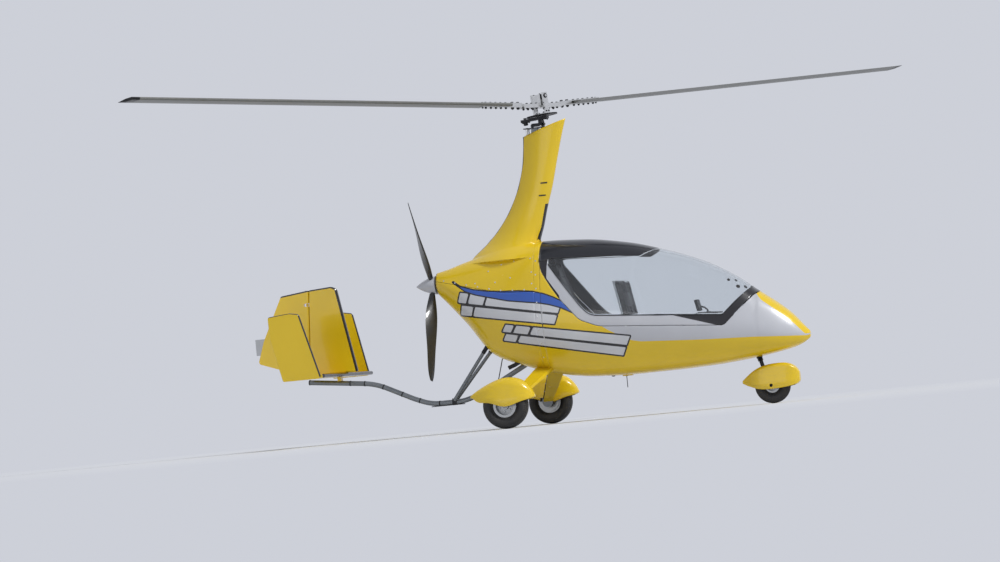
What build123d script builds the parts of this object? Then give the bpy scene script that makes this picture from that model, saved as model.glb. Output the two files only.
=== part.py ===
from build123d import *
import os
from math import sin, cos, tan, radians, hypot, acos

# Enclosed tandem two-seat gyrocopter standing on its wheels.
# Lengths in millimetres.  +X is the nose, +Y the left (port) side, +Z up, and the ground is z = 0.
# Every station below is measured forward of the rotor hub; the finished model is then moved forward
# by hub_station, so that its origin lies on the ground under the middle of its outline.
hub_station = 92.0

# Fits and clearances
seat_gap = 0.3            # between pieces that only rest on each other
pin_clearance = 0.05      # radial, between a pin and its bore
swing_gap = 5.0           # round pieces that move
cut_margin = 60.0         # how far a cutting shape runs past what it cuts

# Fuselage
skin = 12.0               # sandwich skin of the tub, cowl and canopy frame
glass_thickness = 4.0
hollow_front_x = 2000.0   # the nose is solid ahead of this station
hollow_rear_x = -960.0    # and the tail behind this one
hull_corner_share = 0.46  # part of the shorter side that each corner's arc takes
hull_half_reach = 500.0   # wider than the hull, for cutting tools
zone_top_z = 1565.0       # above the hull's crown

# Hull cross-sections: station, bottom, widest height, top, half-widths at bottom, widest and top
hull_sections = (
    (2082.0, 512.0, 545.0, 578.0, 18.0, 42.0, 18.0),
    (2040.0, 482.0, 546.0, 626.0, 46.0, 98.0, 48.0),
    (1960.0, 450.0, 562.0, 722.0, 90.0, 156.0, 84.0),
    (1850.0, 426.0, 590.0, 822.0, 130.0, 212.0, 112.0),
    (1700.0, 402.0, 630.0, 936.0, 165.0, 268.0, 138.0),
    (1500.0, 378.0, 664.0, 1092.0, 196.0, 326.0, 164.0),
    (1250.0, 360.0, 698.0, 1236.0, 222.0, 374.0, 192.0),
    (950.0, 351.0, 728.0, 1354.0, 238.0, 406.0, 220.0),
    (600.0, 348.0, 757.0, 1456.0, 246.0, 420.0, 238.0),
    (250.0, 362.0, 786.0, 1512.0, 246.0, 420.0, 246.0),
    (-100.0, 425.0, 840.0, 1530.0, 236.0, 402.0, 236.0),
    (-350.0, 508.0, 905.0, 1508.0, 212.0, 364.0, 205.0),
    (-590.0, 618.0, 985.0, 1468.0, 176.0, 306.0, 160.0),
    (-800.0, 893.0, 1125.0, 1416.0, 112.0, 226.0, 110.0),
    (-940.0, 1062.0, 1216.0, 1376.0, 72.0, 162.0, 80.0),
    (-1034.0, 1168.0, 1262.0, 1356.0, 46.0, 106.0, 56.0),
)

# Canopy seam seen from the side: roof, rear edge, sill and up the nose, as station, height, corner radius
canopy_outline = (
    (-84.0, zone_top_z, 0.0), (-84.0, 1300.0, 220.0), (-10.0, 1168.0, 900.0), (76.0, 1034.0, 700.0),
    (238.0, 838.0, 160.0), (392.0, 772.0, 260.0), (1432.0, 680.0, 30.0), (1720.0, 952.0, 0.0),
    (1900.0, 1122.0, 0.0), (1900.0, zone_top_z, 0.0),
)
sill_rear, sill_front = canopy_outline[5], canopy_outline[6]

# Glass, dark roof and cowl seams in the same way
glass_outline = (
    (-5.0, zone_top_z, 0.0), (-5.0, 1320.0, 30.0), (60.0, 1225.0, 200.0), (241.0, 968.0, 600.0),
    (330.0, 868.0, 150.0), (1426.0, 766.0, 25.0), (1672.0, 1000.0, 0.0), (1900.0, 1215.0, 0.0),
    (1900.0, zone_top_z, 0.0),
)
roof_outline = (
    (-200.0, zone_top_z, 0.0), (-200.0, 1338.0, 0.0), (30.0, 1372.0, 100.0), (600.0, 1340.0, 900.0),
    (760.0, 1322.0, 60.0), (935.0, 1395.0, 0.0), (935.0, zone_top_z, 0.0),
)
cowl_front_x = -136.0
cowl_outline = (
    (cowl_front_x, 2700.0, 0.0), (cowl_front_x, 1112.0, 40.0), (-430.0, 1130.0, 600.0),
    (-1100.0, 1300.0, 0.0), (-1100.0, 2700.0, 0.0),
)
firewall_x = -118.0
firewall_thickness = 8.0
floor_z = 398.0
floor_thickness = 12.0
floor_top_z = floor_z + floor_thickness

# Canopy hinge on the starboard sill
hinge_stations = (520.0, 900.0)
hinge_axis_y = -431.0
hinge_pin_radius = 5.0
hinge_knuckle_radius = 10.0
hinge_knuckle_length = 22.0
hinge_knuckle_gap = 0.5   # each side of the joint between two knuckles
hinge_arm_thickness = 7.0
hinge_arm_offset = 6.0    # middle of an arm above or below the axis
hinge_arm_reach = 70.0
hinge_arm_inset = 1.0     # an arm is narrower than its knuckle by this much at each end

# Mast fairing: height, trailing edge, leading edge, half-thickness
mast_sections = (
    (1400.0, -760.0, -120.0, 235.0),
    (1470.0, -690.0, -134.0, 178.0),
    (1545.0, -592.0, -118.0, 128.0),
    (1650.0, -482.0, -79.0, 94.0),
    (1800.0, -368.0, -34.0, 76.0),
    (1990.0, -271.0, 31.0, 68.0),
    (2200.0, -209.0, 90.0, 62.0),
    (2420.0, -184.0, 155.0, 58.0),
    (2560.0, -180.0, 202.0, 56.0),
)
mast_skin = 8.0
mast_rear_edge = 8.0      # half-thickness of the trailing edge
mast_top_rear = (-158.0, 2424.0)
mast_top_front = (192.0, 2533.0)
mast_foot = (-262.0, 505.0)
mast_head = (-75.0, 2477.0)
mast_tube_width = 70.0
mast_tube_depth = 50.0
mast_tube_wall = 4.0
mast_reach = 400.0        # wider than the mast, for cutting tools
mast_ceiling_z = 2800.0   # above the mast, for cutting tools

# Engine, reduced to one block with its propeller shaft housing
engine_front_x = -330.0
engine_rear_x = -735.0
engine_bottom_z = 925.0
engine_top_z = 1235.0
engine_half_width = 165.0
engine_edge_radius = 30.0
engine_arm_radius = 22.0
engine_arm_inset = 60.0   # an arm's height inside the block's top or bottom, and its run past the mast foot
propeller_z = 1256.0
propeller_x = -1086.0
propeller_radius = 865.0
propeller_rest_angle = 52.0
propeller_blade_count = 3
blade_shank_radius = 17.0
blade_shank_start = 30.0  # from the propeller's axis
spinner_base_x = -1052.0
spinner_radius = 79.0
spinner_tip_x = -1230.0
spinner_tip_radius = 3.0
spinner_shoulder = (0.52, 0.68)   # share of the length and of the radius at the middle of its curve
shaft_housing_radius = 42.0
shaft_housing_end_x = propeller_x + 44.0
shaft_bore_depth = 70.0
shaft_radius = 20.0
shaft_length = 66.0

# Propeller blade: radius, chord, thickness, pitch angle
propeller_sections = (
    (78.0, 46.0, 40.0, 62.0),
    (150.0, 72.0, 32.0, 55.0),
    (280.0, 112.0, 22.0, 42.0),
    (470.0, 116.0, 15.0, 30.0),
    (680.0, 98.0, 11.0, 22.0),
    (820.0, 70.0, 8.0, 18.0),
    (propeller_radius, 34.0, 6.0, 17.0),
)

# Wheels
main_wheel_x = -354.0
main_wheel_y = 770.0
main_wheel_radius = 190.0
main_tyre_width = 145.0
main_rim_radius = 96.0
main_hub_half = 48.0
main_axle_radius = 15.0
main_axle_overhang = 62.0     # past the wheel's middle
axle_collar_radius = 26.0
axle_collar_gap = 50.0        # from the collar's end to the wheel's middle
axle_flange_radius = 46.0
axle_flange_thickness = 12.0
axle_slot_depth = 90.0        # the fairing's slot over the axle runs this far below it
nose_wheel_x = 1733.0
nose_wheel_radius = 150.0
nose_tyre_width = 90.0
nose_rim_radius = 62.0
nose_hub_half = 42.0
nose_axle_radius = 10.0
tow_bore_radius = 5.5         # hollow nose axle that takes a tow bar pin
tow_access_radius = 14.0      # hole in the nose fairing over the axle end

# Tyre outline: share of the wall's height, share of the half-width, from the bead to the tread's edge
tyre_bead = (0.14, 0.72)
tyre_bulge = (0.52, 1.0)
tyre_shoulder = (0.86, 0.78)
bead_share = 0.62             # half-width at the rim, as a share of the tyre's
rim_well_share = 0.80         # radius of the rim's inside, as a share of its outside
rim_web_shares = (0.16, 0.10) # half-thickness of the disc at hub and rim, as shares of the tyre's half-width
hub_radius_share = 2.1        # hub radius over axle radius

# Main gear bow: distance from the centre line, centre station, height, chord, thickness
bow_sections = (
    (0.0, -134.0, 480.0, 150.0, 30.0),
    (150.0, -134.0, 476.0, 150.0, 30.0),
    (250.0, -157.0, 442.0, 140.0, 29.0),
    (470.0, -258.0, 318.0, 108.0, 26.0),
    (654.0, -350.0, 202.0, 80.0, 22.0),
)
bow_end_y = bow_sections[-1][0]

# Wheel fairings: station, bottom, top, half-width
main_fairing_sections = (
    (-645.0, 276.0, 296.0, 10.0),
    (-600.0, 252.0, 324.0, 38.0),
    (-520.0, 223.0, 366.0, 74.0),
    (-430.0, 197.0, 402.0, 97.0),
    (-340.0, 168.0, 420.0, 104.0),
    (-250.0, 188.0, 412.0, 100.0),
    (-180.0, 213.0, 378.0, 84.0),
    (-130.0, 231.0, 322.0, 56.0),
    (-100.0, 242.0, 262.0, 20.0),
)
nose_fairing_sections = (
    (1483.0, 184.0, 206.0, 8.0),
    (1530.0, 160.0, 244.0, 32.0),
    (1610.0, 129.0, 294.0, 68.0),
    (1700.0, 116.0, 322.0, 78.0),
    (1790.0, 118.0, 330.0, 80.0),
    (1870.0, 126.0, 324.0, 75.0),
    (1930.0, 140.0, 294.0, 58.0),
    (1968.0, 172.0, 240.0, 28.0),
)
main_fairing_crown = 0.74     # width of the top as a share of the widest
nose_fairing_crown = 0.9
main_fairing_corner = 0.45    # share of a side that a corner takes
nose_fairing_corner = 0.22
fairing_foot = 0.95           # width of the open bottom as a share of the widest
fairing_belt = 0.22           # height of the widest place as a share of the whole
fairing_skin = 4.0
main_fairing_opening = 40.0   # how far the hollow runs past the open bottom
nose_fairing_opening = 30.0

# Nose gear: raked steering axis through a point in the belly
steer_top = (1643.0, 395.0)
steer_rake = 15.0
steer_stem_radius = 16.0
steer_stem_foot = -102.0      # along the steering axis from the belly
steer_stem_head = 6.0         # above the sleeve
stem_hole_depth = 140.0       # the fairing's hole for the stem is cut this far below the belly
steer_sleeve_radius = 26.0
steer_sleeve_length = 120.0
steer_sleeve_foot = -8.0
fork_half_space = 48.0        # from the wheel's middle to a fork leg
fork_leg_thickness = 6.0
fork_tyre_gap = 6.0
fork_crown_thickness = 9.0
fork_crown_sector = ((0.0, 0.0), (-62.0, 230.0), (-190.0, 160.0))   # from the nose axle
fork_leg_outline = (                                                # from the nose axle, with corner radii
    (-16.0, -16.0, 14.0), (16.0, -16.0, 14.0), (16.0, 16.0, 14.0), (-48.0, 152.0, 0.0), (-108.0, 112.0, 0.0),
)

# Keel boom: centre-line points and bend radii
boom_radius = 21.0
boom_wall = 3.0
boom_points = (
    (-300.0, 540.0), (-735.0, 318.0), (-905.0, 262.0), (-1195.0, 262.0), (-1345.0, 322.0), (-1665.0, 478.0),
    (-2240.0, 541.0),
)
boom_bends = (300.0, 420.0, 420.0, 500.0, 600.0)
strut_radius = 15.0
strut_top = (-655.0, 118.0, 672.0)
strut_bottom = (-985.0, 30.0, 276.0)

# Tail
stabiliser_half_span = 720.0
stabiliser_front_x = -1890.0
stabiliser_rear_x = -2252.0
stabiliser_bottom_z = 566.0
stabiliser_thickness = 32.0
stabiliser_edge = 3.0
stabiliser_nose_share = 0.3
stabiliser_flat_share = 0.45
rudder_notch_depth = 42.0
rudder_notch_half_width = 70.0
saddle_stations = (-1975.0, -2200.0)
saddle_length = 30.0
saddle_half_width = 30.0
saddle_bottom_z = 530.0
fin_thickness = 40.0
fin_edge_chamfer = 9.0
fin_chamfer_start = 42.0      # edges this far ahead of the hinge line's top are eased
fin_front_foot_x = -1808.0
fin_front_top = (-1931.0, 1312.0)
fin_crown_x = -1975.0
fin_top_z = 1334.0
fin_rear_top_z = 1322.0
hinge_line_top = (-2192.0, 1322.0)
hinge_line_bottom = (-2245.0, 600.0)
hinge_line_slope = (hinge_line_top[0] - hinge_line_bottom[0]) / (hinge_line_top[1] - hinge_line_bottom[1])
rudder_thickness = 36.0
rudder_edge_thickness = 8.0
rudder_top_z = 1320.0
rudder_bottom_z = 578.0
rudder_taper_start_x = -2240.0
rudder_taper_end_x = -2720.0
rudder_outline = (            # behind the hinge line, from the top down, with corner radii
    (-2426.0, 1294.0, 25.0), (-2562.0, 1033.0, 60.0), (-2617.0, 925.0, 60.0), (-2682.0, 741.0, 25.0),
    (-2496.0, 675.0, 30.0), (-2369.0, 604.0, 10.0),
)
rudder_hinge_heights = (720.0, 1200.0)
rudder_pin_radius = 5.0
rudder_lug_height = 16.0
rudder_lug_radius = 13.0
rudder_lug_thickness = 18.0
rudder_lug_inset = 1.0        # a lug's plate is lower than its eye by this much above and below
rudder_lug_sink = 6.0         # and runs this far into the fin
rudder_slot_gap = 4.0         # above and below a lug
rudder_slot_front = 60.0      # ahead of the hinge line
rudder_slot_rear = 30.0
tab_front_x = -2600.0
tab_rear_x = -2695.0
tab_overlap = 20.0            # the tab starts this far inside the rudder's edge, against its side
tab_offset_y = 7.0
tab_bottom_z = 811.0
tab_top_z = 948.0
tab_thickness = 2.0
outer_fin_cant = 6.8
outer_fin_thickness = 22.0
outer_fin_chamfer = 5.0
outer_fin_foot = 4.0          # below the stabiliser's underside
fin_joint_depth = 3.0         # the stabiliser's end is cut back to the canted fin by this much
outer_fin_outline = (         # station, height above the fin's foot, corner radius
    (-1918.0, 0.0, 25.0), (-2045.0, 552.0, 30.0), (-2126.0, 566.0, 60.0), (-2315.0, 550.0, 20.0),
    (-2321.0, 370.0, 60.0), (-2252.0, 0.0, 15.0),
)

# Rotor head, drawn level and then leaned back about the pitch pivot
head_lean = 4.6
rotor_azimuth = 54.6
rotor_rest_teeter = 2.46      # the forward blade rests this far below square
head_plate_bottom_z = 2477.0
head_plate_thickness = 7.0
head_plate_top_z = head_plate_bottom_z + head_plate_thickness
head_plate_rear_x = -165.0
head_plate_front_x = 8.0
head_plate_half_width = 52.0
head_stud_radius = 9.0
head_stud_stations = (-140.0, -20.0)
head_stud_offset = 32.0
head_stud_sink = 20.0         # a stud's start below the mast's top
roll_axis_z = 2506.0
roll_lug_rear_x = -95.0
roll_lug_front_x = 0.0
roll_lug_thickness = 12.0
roll_lug_radius = 14.0
roll_lug_half_width = 22.0
roll_lug_waist = 6.0          # the straight part of a lug ends this far below its axis
pivot_bolt_radius = 5.0
pivot_bolt_end = 14.0         # past the lugs' middles
gimbal_half_width = 27.0
gimbal_half_height = 13.0
gimbal_side_gap = 0.5
gimbal_post_half = 20.0
gimbal_post_rise = 11.0       # above the pitch axis
pitch_axis_x = -16.0
pitch_axis_z = 2528.0
pitch_lug_radius = 14.0
pitch_bolt_reach = 54.0
bearing_frame_bottom_z = 2548.0
bearing_frame_top_z = 2570.0
bearing_frame_front_x = 46.0
bearing_frame_rear_x = -185.0
bearing_frame_half_width = 44.0
bearing_arm_half_width = 22.0
bearing_shoulder_x = -50.0
bearing_bore_depth = 18.0
rotor_shaft_radius = 12.0
rotor_shaft_foot = 16.0       # below the bearing frame's top
ring_gear_radius = 130.0
ring_gear_bottom_z = 2574.0
ring_gear_thickness = 10.0
ring_gear_top_z = ring_gear_bottom_z + ring_gear_thickness
tower_offset = 74.0
tower_thickness = 18.0
tower_width = 46.0
tower_foot_thickness = 12.0
tower_top_z = 2764.0
teeter_axis_z = 2735.0
teeter_bolt_radius = 10.0
teeter_bolt_head = 9.0        # past the towers
teeter_block_half_length = 32.0
teeter_block_half_width = 52.0
teeter_block_rise = 18.0
hub_bar_z = 2660.0
hub_bar_thickness = 34.0
hub_bar_width = 84.0
hub_bar_half_length = 330.0
hub_tongue_depth = 70.0       # how far a tongue reaches into the bar
hub_bar_margin = 6.0          # from the bar's end to the grip

# Rotor blades
rotor_radius = 4200.0
rotor_precone = 2.7
blade_chord = 200.0
blade_thickness = 24.0
blade_nose_share = 0.3
blade_flat_share = 0.32
blade_edge = 1.0
blade_root = 345.0
grip_inner = 215.0
grip_outer = 640.0
grip_thickness = 7.0
grip_width = 60.0
grip_rear = -34.0             # rear edge of a grip plate, behind the blade's reference line

# Seats: the two seats differ only in place
seat_width = 420.0
seat_shell = 10.0
seat_bend_radius = 60.0
seat_inner_radius = 50.0
seat_leg_inset = 60.0         # from the seat's side to the outside of a leg panel
seat_leg_thickness = 12.0
seat_leg_rear = (40.0, 60.0)      # a leg panel's foot and head ahead of the bend
seat_leg_front = (60.0, 40.0)     # and behind the seat's front edge
seat_leg_sink = 2.0               # how far the panel runs into the shell
cushion_margin = 25.0         # from the seat's side to the cushion
cushion_start = 78.0          # from the seat's bend
cushion_end_gap = 10.0
cushion_thickness = 55.0
backrest_thickness = 43.0
cushion_corner_radii = (8.0, 8.0, 20.0, 20.0)

# Seats: name, front edge, bend and top of the shell's back line (station, height each)
seat_rows = (
    ("front", 1030.0, 566.0, 616.0, 548.0, 508.0, 1134.0),
    ("rear", 560.0, 640.0, 196.0, 618.0, -66.0, 1330.0),
)

# Cabin fittings
panel_outline = (             # station, height, corner radius
    (1190.0, 640.0, 20.0), (1390.0, 640.0, 20.0), (1430.0, 720.0, 30.0), (1360.0, 800.0, 60.0),
    (1200.0, 808.0, 12.0), (1180.0, 790.0, 8.0),
)
panel_half_width = 180.0
panel_post = (1260.0, 1380.0, 60.0)      # rear and front stations, half-width
panel_post_top_z = 645.0
stick_foot = (1079.0, floor_top_z + 6.0)
stick_knee = (1046.0, 640.0)
stick_grip_foot = (1046.0, 635.0)
stick_top = (1030.0, 745.0)
stick_radius = 9.0
stick_grip_radius = 16.0
stick_boot_x = 1080.0
stick_boot_radius = 30.0
stick_boot_height = 14.0
pedal_x = 1542.0
pedal_offset = 95.0
pedal_half_width = 38.0
pedal_bottom_z = 500.0
pedal_top_z = 600.0
pedal_thickness = 8.0
pedal_setback = 12.0          # a pad's rear face behind its rod's axis
pedal_rod_radius = 8.0
pedal_rod_top_z = 560.0
pedal_bar_height = 12.0
throttle_box = (1060.0, 1130.0, 120.0, 144.0)    # rear, front, inner and outer faces
throttle_box_top_z = 540.0
throttle_foot = (1100.0, 535.0)
throttle_top = (1070.0, 640.0)
throttle_radius = 8.0

antenna_x = 507.0
antenna_tip_z = 245.0
antenna_top_z = 352.0
antenna_radius = 3.0
antenna_base_radius = 11.0
antenna_base_height = 12.0


def corner_turn(before, here, after):
    """Lengths of the two sides at a corner, and the angle it turns through."""
    a = (here[0] - before[0], here[1] - before[1])
    b = (after[0] - here[0], after[1] - here[1])
    la, lb = hypot(*a), hypot(*b)
    turn = acos(max(-1.0, min(1.0, (a[0] * b[0] + a[1] * b[1]) / (la * lb))))
    return a, b, la, lb, turn


def rounded_ring(points, radii, place):
    """Closed outline of lines and tangent arcs; place maps a flat point into space."""
    count = len(points)
    corners = []
    for i in range(count):
        here = points[i]
        a, b, la, lb, turn = corner_turn(points[i - 1], here, points[(i + 1) % count])
        radius = radii[i]
        if radius == 0 or turn < 1e-6:
            corners.append((here, here, here))
            continue
        reach = radius * tan(turn / 2)
        start = (here[0] - a[0] / la * reach, here[1] - a[1] / la * reach)
        end = (here[0] + b[0] / lb * reach, here[1] + b[1] / lb * reach)
        middle = ((start[0] + end[0]) / 2, (start[1] + end[1]) / 2)
        sink = hypot(here[0] - middle[0], here[1] - middle[1])
        bulge = radius / cos(turn / 2) - radius
        crown = tuple(h + (m - h) / sink * bulge for h, m in zip(here, middle))
        corners.append((start, crown, end))
    edges = []
    for i in range(count):
        start, crown, end = corners[i]
        leave = corners[(i + 1) % count][0]
        if start != end:
            edges.append(ThreePointArc(place(start), place(crown), place(end)))
        if hypot(leave[0] - end[0], leave[1] - end[1]) > 1e-4:
            edges.append(Line(place(end), place(leave)))
    return make_face(Wire(edges))


def split(outline):
    """Points and corner radii of an outline given as (x, z, radius) rows."""
    return [row[:2] for row in outline], [row[2] for row in outline]


def side_plate(points, radii, half_width):
    """Outline seen from the side, drawn from -half_width to half_width across the machine."""
    face = rounded_ring(points, radii, lambda p: (p[0], -half_width, p[1]))
    return extrude(face, amount=2 * half_width, dir=(0, 1, 0))


def side_zone(outline):
    """Cutting shape behind an outline of (x, z, radius) rows, wider than the hull."""
    return side_plate(*split(outline), hull_half_reach)


def upright_plate(points, radii, thickness):
    """Plate of even thickness in the middle plane."""
    face = rounded_ring(points, radii, lambda p: (p[0], 0.0, p[1]))
    return extrude(face, amount=thickness / 2, dir=(0, 1, 0), both=True)


def soft_radii(points, share):
    """Corner radii that use a share of the shorter side at each corner."""
    radii = []
    count = len(points)
    for i in range(count):
        a, b, la, lb, turn = corner_turn(points[i - 1], points[i], points[(i + 1) % count])
        radii.append(share * min(la, lb) / tan(turn / 2))
    return radii


def cross_section(x, points, share, y=0.0):
    """Rounded outline across the machine at station x, from (y, z) points."""
    return rounded_ring(points, soft_radii(points, share), lambda p: (x, y + p[0], p[1]))


def hull(inset=0.0, front=None, rear=None):
    """Fuselage body between its stations, drawn inwards by inset."""
    faces = []
    for x, bottom, wide, top, half_bottom, half_wide, half_top in hull_sections:
        if front is not None and x > front:
            continue
        if rear is not None and x < rear:
            continue
        b, w, t = half_bottom - 0.6 * inset, half_wide - inset, half_top - 0.6 * inset
        low, high = bottom + inset, top - inset
        ring = ((-b, low), (b, low), (w, wide), (t, high), (-t, high), (-w, wide))
        faces.append(cross_section(x, ring, hull_corner_share))
    return loft(faces, ruled=True)


def wheel_fairing(sections, y, crown, corner, inset=0.0, drop=0.0):
    """Streamlined fairing from station, bottom, top and half-width rows; drop opens a hollow below."""
    faces = []
    for x, bottom, top, half_width in sections:
        w = half_width - inset
        low, high = bottom + inset - drop, top - inset
        belt = low + fairing_belt * (high - low)
        foot, head = fairing_foot * w, crown * w
        ring = ((-foot, low), (foot, low), (w, belt), (head, high), (-head, high), (-w, belt))
        faces.append(cross_section(x, ring, corner, y))
    return loft(faces)


def blade_face(plane, chord, thickness, nose_share=0.3, edge=1.5, flat=0.0):
    """Blade section: round nose towards +x of the plane, thin rear edge, flat over part of the chord."""
    nose, rear, half = chord * nose_share, -chord * (1 - nose_share), thickness / 2
    shoulder = nose - min(chord * 0.16, half)
    if flat > 0:
        end = nose - chord * (0.16 + flat)
        front = ThreePointArc((shoulder, half), (nose, 0), (shoulder, -half))
        back = Polyline((shoulder, -half), (end, -half), (rear, -edge), (rear, edge), (end, half),
                        (shoulder, half))
        return plane * make_face(Wire([front] + list(back.edges())))
    front = ThreePointArc((shoulder, half * 0.86), (nose, 0), (shoulder, -half * 0.86))
    lower = ThreePointArc((shoulder, -half * 0.86), (shoulder - chord * 0.25, -half), (rear, -edge))
    back = Line((rear, -edge), (rear, edge))
    upper = ThreePointArc((rear, edge), (shoulder - chord * 0.25, half), (shoulder, half * 0.86))
    return plane * make_face(Wire([front, lower, back, upper]))


def bar(start, end, radius):
    """Round bar from one point to another."""
    start, end = Vector(*start), Vector(*end)
    along = end - start
    plane = Plane(origin=start, z_dir=along)
    return extrude(plane * Circle(radius), amount=along.length)


def cross_bar(x, z, y0, y1, radius):
    """Round bar across the machine."""
    return bar((x, y0, z), (x, y1, z), radius)


def long_bar(x0, x1, z, radius):
    """Round bar along the machine, in the middle plane."""
    return bar((x0, 0, z), (x1, 0, z), radius)


def slanted_bar(foot, head, y, radius):
    """Round bar between two points seen from the side."""
    return bar((foot[0], y, foot[1]), (head[0], y, head[1]), radius)


def upright_bar(x, y, z0, z1, radius):
    """Round bar from one height to another."""
    return bar((x, y, z0), (x, y, z1), radius)


def block(x0, x1, y0, y1, z0, z1):
    """Rectangular block between two corners."""
    centre = ((x0 + x1) / 2, (y0 + y1) / 2, (z0 + z1) / 2)
    return Pos(*centre) * Box(abs(x1 - x0), abs(y1 - y0), abs(z1 - z0))


def keep(name, shape):
    """Write one piece, moved to its place over the origin."""
    export_step(Pos(hub_station, 0, 0) * shape, os.path.join("parts", name + ".step"))


def largest(shape):
    """The biggest of several separate solids."""
    return max(shape.solids(), key=lambda solid: solid.volume)


def shifted(outline, gap):
    """Outline drawn inwards by gap all round; a corner that bends in gets a larger radius."""
    points, radii = split(outline)
    count = len(points)
    area = sum(points[i - 1][0] * points[i][1] - points[i][0] * points[i - 1][1] for i in range(count))
    inward = 1.0 if area > 0 else -1.0
    moved = []
    for i in range(count):
        a, b, la, lb, turn = corner_turn(points[i - 1], points[i], points[(i + 1) % count])
        bend = inward * (a[0] * b[1] - a[1] * b[0]) / (la * lb)
        step = inward * gap / (1.0 + cos(turn))
        x = points[i][0] - (a[1] / la + b[1] / lb) * step
        z = points[i][1] + (a[0] / la + b[0] / lb) * step
        radius = 0.0 if radii[i] == 0 else radii[i] - gap if bend > 0 else radii[i] + gap
        moved.append((x, z, radius))
    return moved


def bow_solid(grow=0.0):
    """Leaf-spring bow of the main gear, wheel to wheel."""
    far_side = [(-row[0],) + row[1:] for row in reversed(bow_sections[1:])]
    faces = []
    for y, x, z, chord, thickness in far_side + list(bow_sections):
        faces.append(Pos(x, y, z) * (Rot(X=90) * Rectangle(chord + 2 * grow, thickness + 2 * grow)))
    return loft(faces, ruled=True)


def mast_solid(sections=mast_sections, inset=0.0):
    """Tapering fairing round the mast, from level sections."""
    faces = []
    for z, rear, front, half in sections:
        plane = Plane(origin=((front + rear) / 2, 0, z), x_dir=(1, 0, 0), z_dir=(0, 0, 1))
        chord, edge = front - rear - 2 * inset, max(2.0, mast_rear_edge - inset)
        faces.append(blade_face(plane, chord, 2 * (half - inset), nose_share=0.5, edge=edge))
    return loft(faces)


def mast_top_z(x):
    """Height of the mast fairing's slanted top at a station."""
    (x0, z0), (x1, z1) = mast_top_rear, mast_top_front
    return z0 + (z1 - z0) / (x1 - x0) * (x - x0)


def beyond_mast_top(end_z):
    """Everything round the mast between its slanted top and a level."""
    corners = ((-mast_reach, mast_top_z(-mast_reach)), (mast_reach, mast_top_z(mast_reach)),
               (mast_reach, end_z), (-mast_reach, end_z))
    return side_plate(corners, (0, 0, 0, 0), mast_reach)


def mast_tube(grow=0.0):
    """Rectangular tube that carries the rotor head, from the keel to the head plate."""
    size = (mast_tube_depth + 2 * grow, mast_tube_width + 2 * grow)
    ends = []
    for x, z in (mast_foot, mast_head):
        plane = Plane(origin=(x, 0, z), x_dir=(1, 0, 0), z_dir=(0, 0, 1))
        ends.append(plane * Rectangle(*size))
    return loft(ends)


def boom_solid(grow=0.0):
    """Keel boom: straight runs joined by bends."""
    path = FilletPolyline(*[(x, 0, z) for x, z in boom_points], radius=list(boom_bends))
    start = Plane(origin=path @ 0, z_dir=path % 0)
    return sweep(start * Circle(boom_radius + grow), path=path)


def strut_solid(side, grow=0.0):
    """Tail strut from the lower corner of the fuselage to the boom."""
    x0, y0, z0 = strut_top
    x1, y1, z1 = strut_bottom
    return bar((x0, side * y0, z0), (x1, side * y1, z1), strut_radius + grow)


def steer_point(distance):
    """Point on the steering axis, measured upwards from the belly."""
    lean = radians(steer_rake)
    return (steer_top[0] - distance * sin(lean), 0.0, steer_top[1] + distance * cos(lean))


def steer_bar(foot, head, radius):
    """Round bar along the steering axis."""
    return bar(steer_point(foot), steer_point(head), radius)


def sleeve_room():
    """Hole for the steering sleeve through the belly and the cabin floor."""
    return steer_bar(-cut_margin, steer_sleeve_length + cut_margin, steer_sleeve_radius + seat_gap)


def shaft_housing(grow=0.0):
    """Round housing of the propeller shaft, from the engine to the spinner."""
    return long_bar(shaft_housing_end_x, engine_rear_x + 100.0, propeller_z, shaft_housing_radius + grow)


def hinge_point(x):
    """Point on the canopy hinge axis, in the middle of the sill gap."""
    slope = (sill_front[1] - sill_rear[1]) / (sill_front[0] - sill_rear[0])
    return Vector(x, hinge_axis_y, sill_rear[1] + slope * (x - sill_rear[0]) + swing_gap / 2)


def hinge_parts(inner):
    """Fixed and moving knuckles of the canopy hinge, with their arms to the skin."""
    along = (hinge_point(hinge_stations[1]) - hinge_point(hinge_stations[0])).normalized()
    fixed, moving = [], []
    for x in hinge_stations:
        for side, group in ((-1, fixed), (1, moving)):
            near = hinge_knuckle_gap if side > 0 else -hinge_knuckle_gap - hinge_knuckle_length
            start = hinge_point(x) + along * near
            plane = Plane(origin=start, z_dir=along)
            knuckle = extrude(plane * Circle(hinge_knuckle_radius), amount=hinge_knuckle_length)
            level = start.Z + hinge_arm_offset * side
            arm = block(start.X + hinge_arm_inset, start.X + hinge_knuckle_length - hinge_arm_inset,
                        hinge_axis_y, hinge_axis_y + hinge_arm_reach,
                        level - hinge_arm_thickness / 2, level + hinge_arm_thickness / 2)
            piece = knuckle + (arm - inner)
            if side > 0:
                bore = Plane(origin=start - along * swing_gap, z_dir=along)
                bore = bore * Circle(hinge_pin_radius + pin_clearance)
                piece = piece - extrude(bore, amount=hinge_knuckle_length + 2 * swing_gap)
            else:
                pin_length = 2 * hinge_knuckle_length + 6 * hinge_knuckle_gap
                piece = piece + extrude(plane * Circle(hinge_pin_radius), amount=pin_length)
            group.append(piece)
    return fixed, moving


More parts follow.
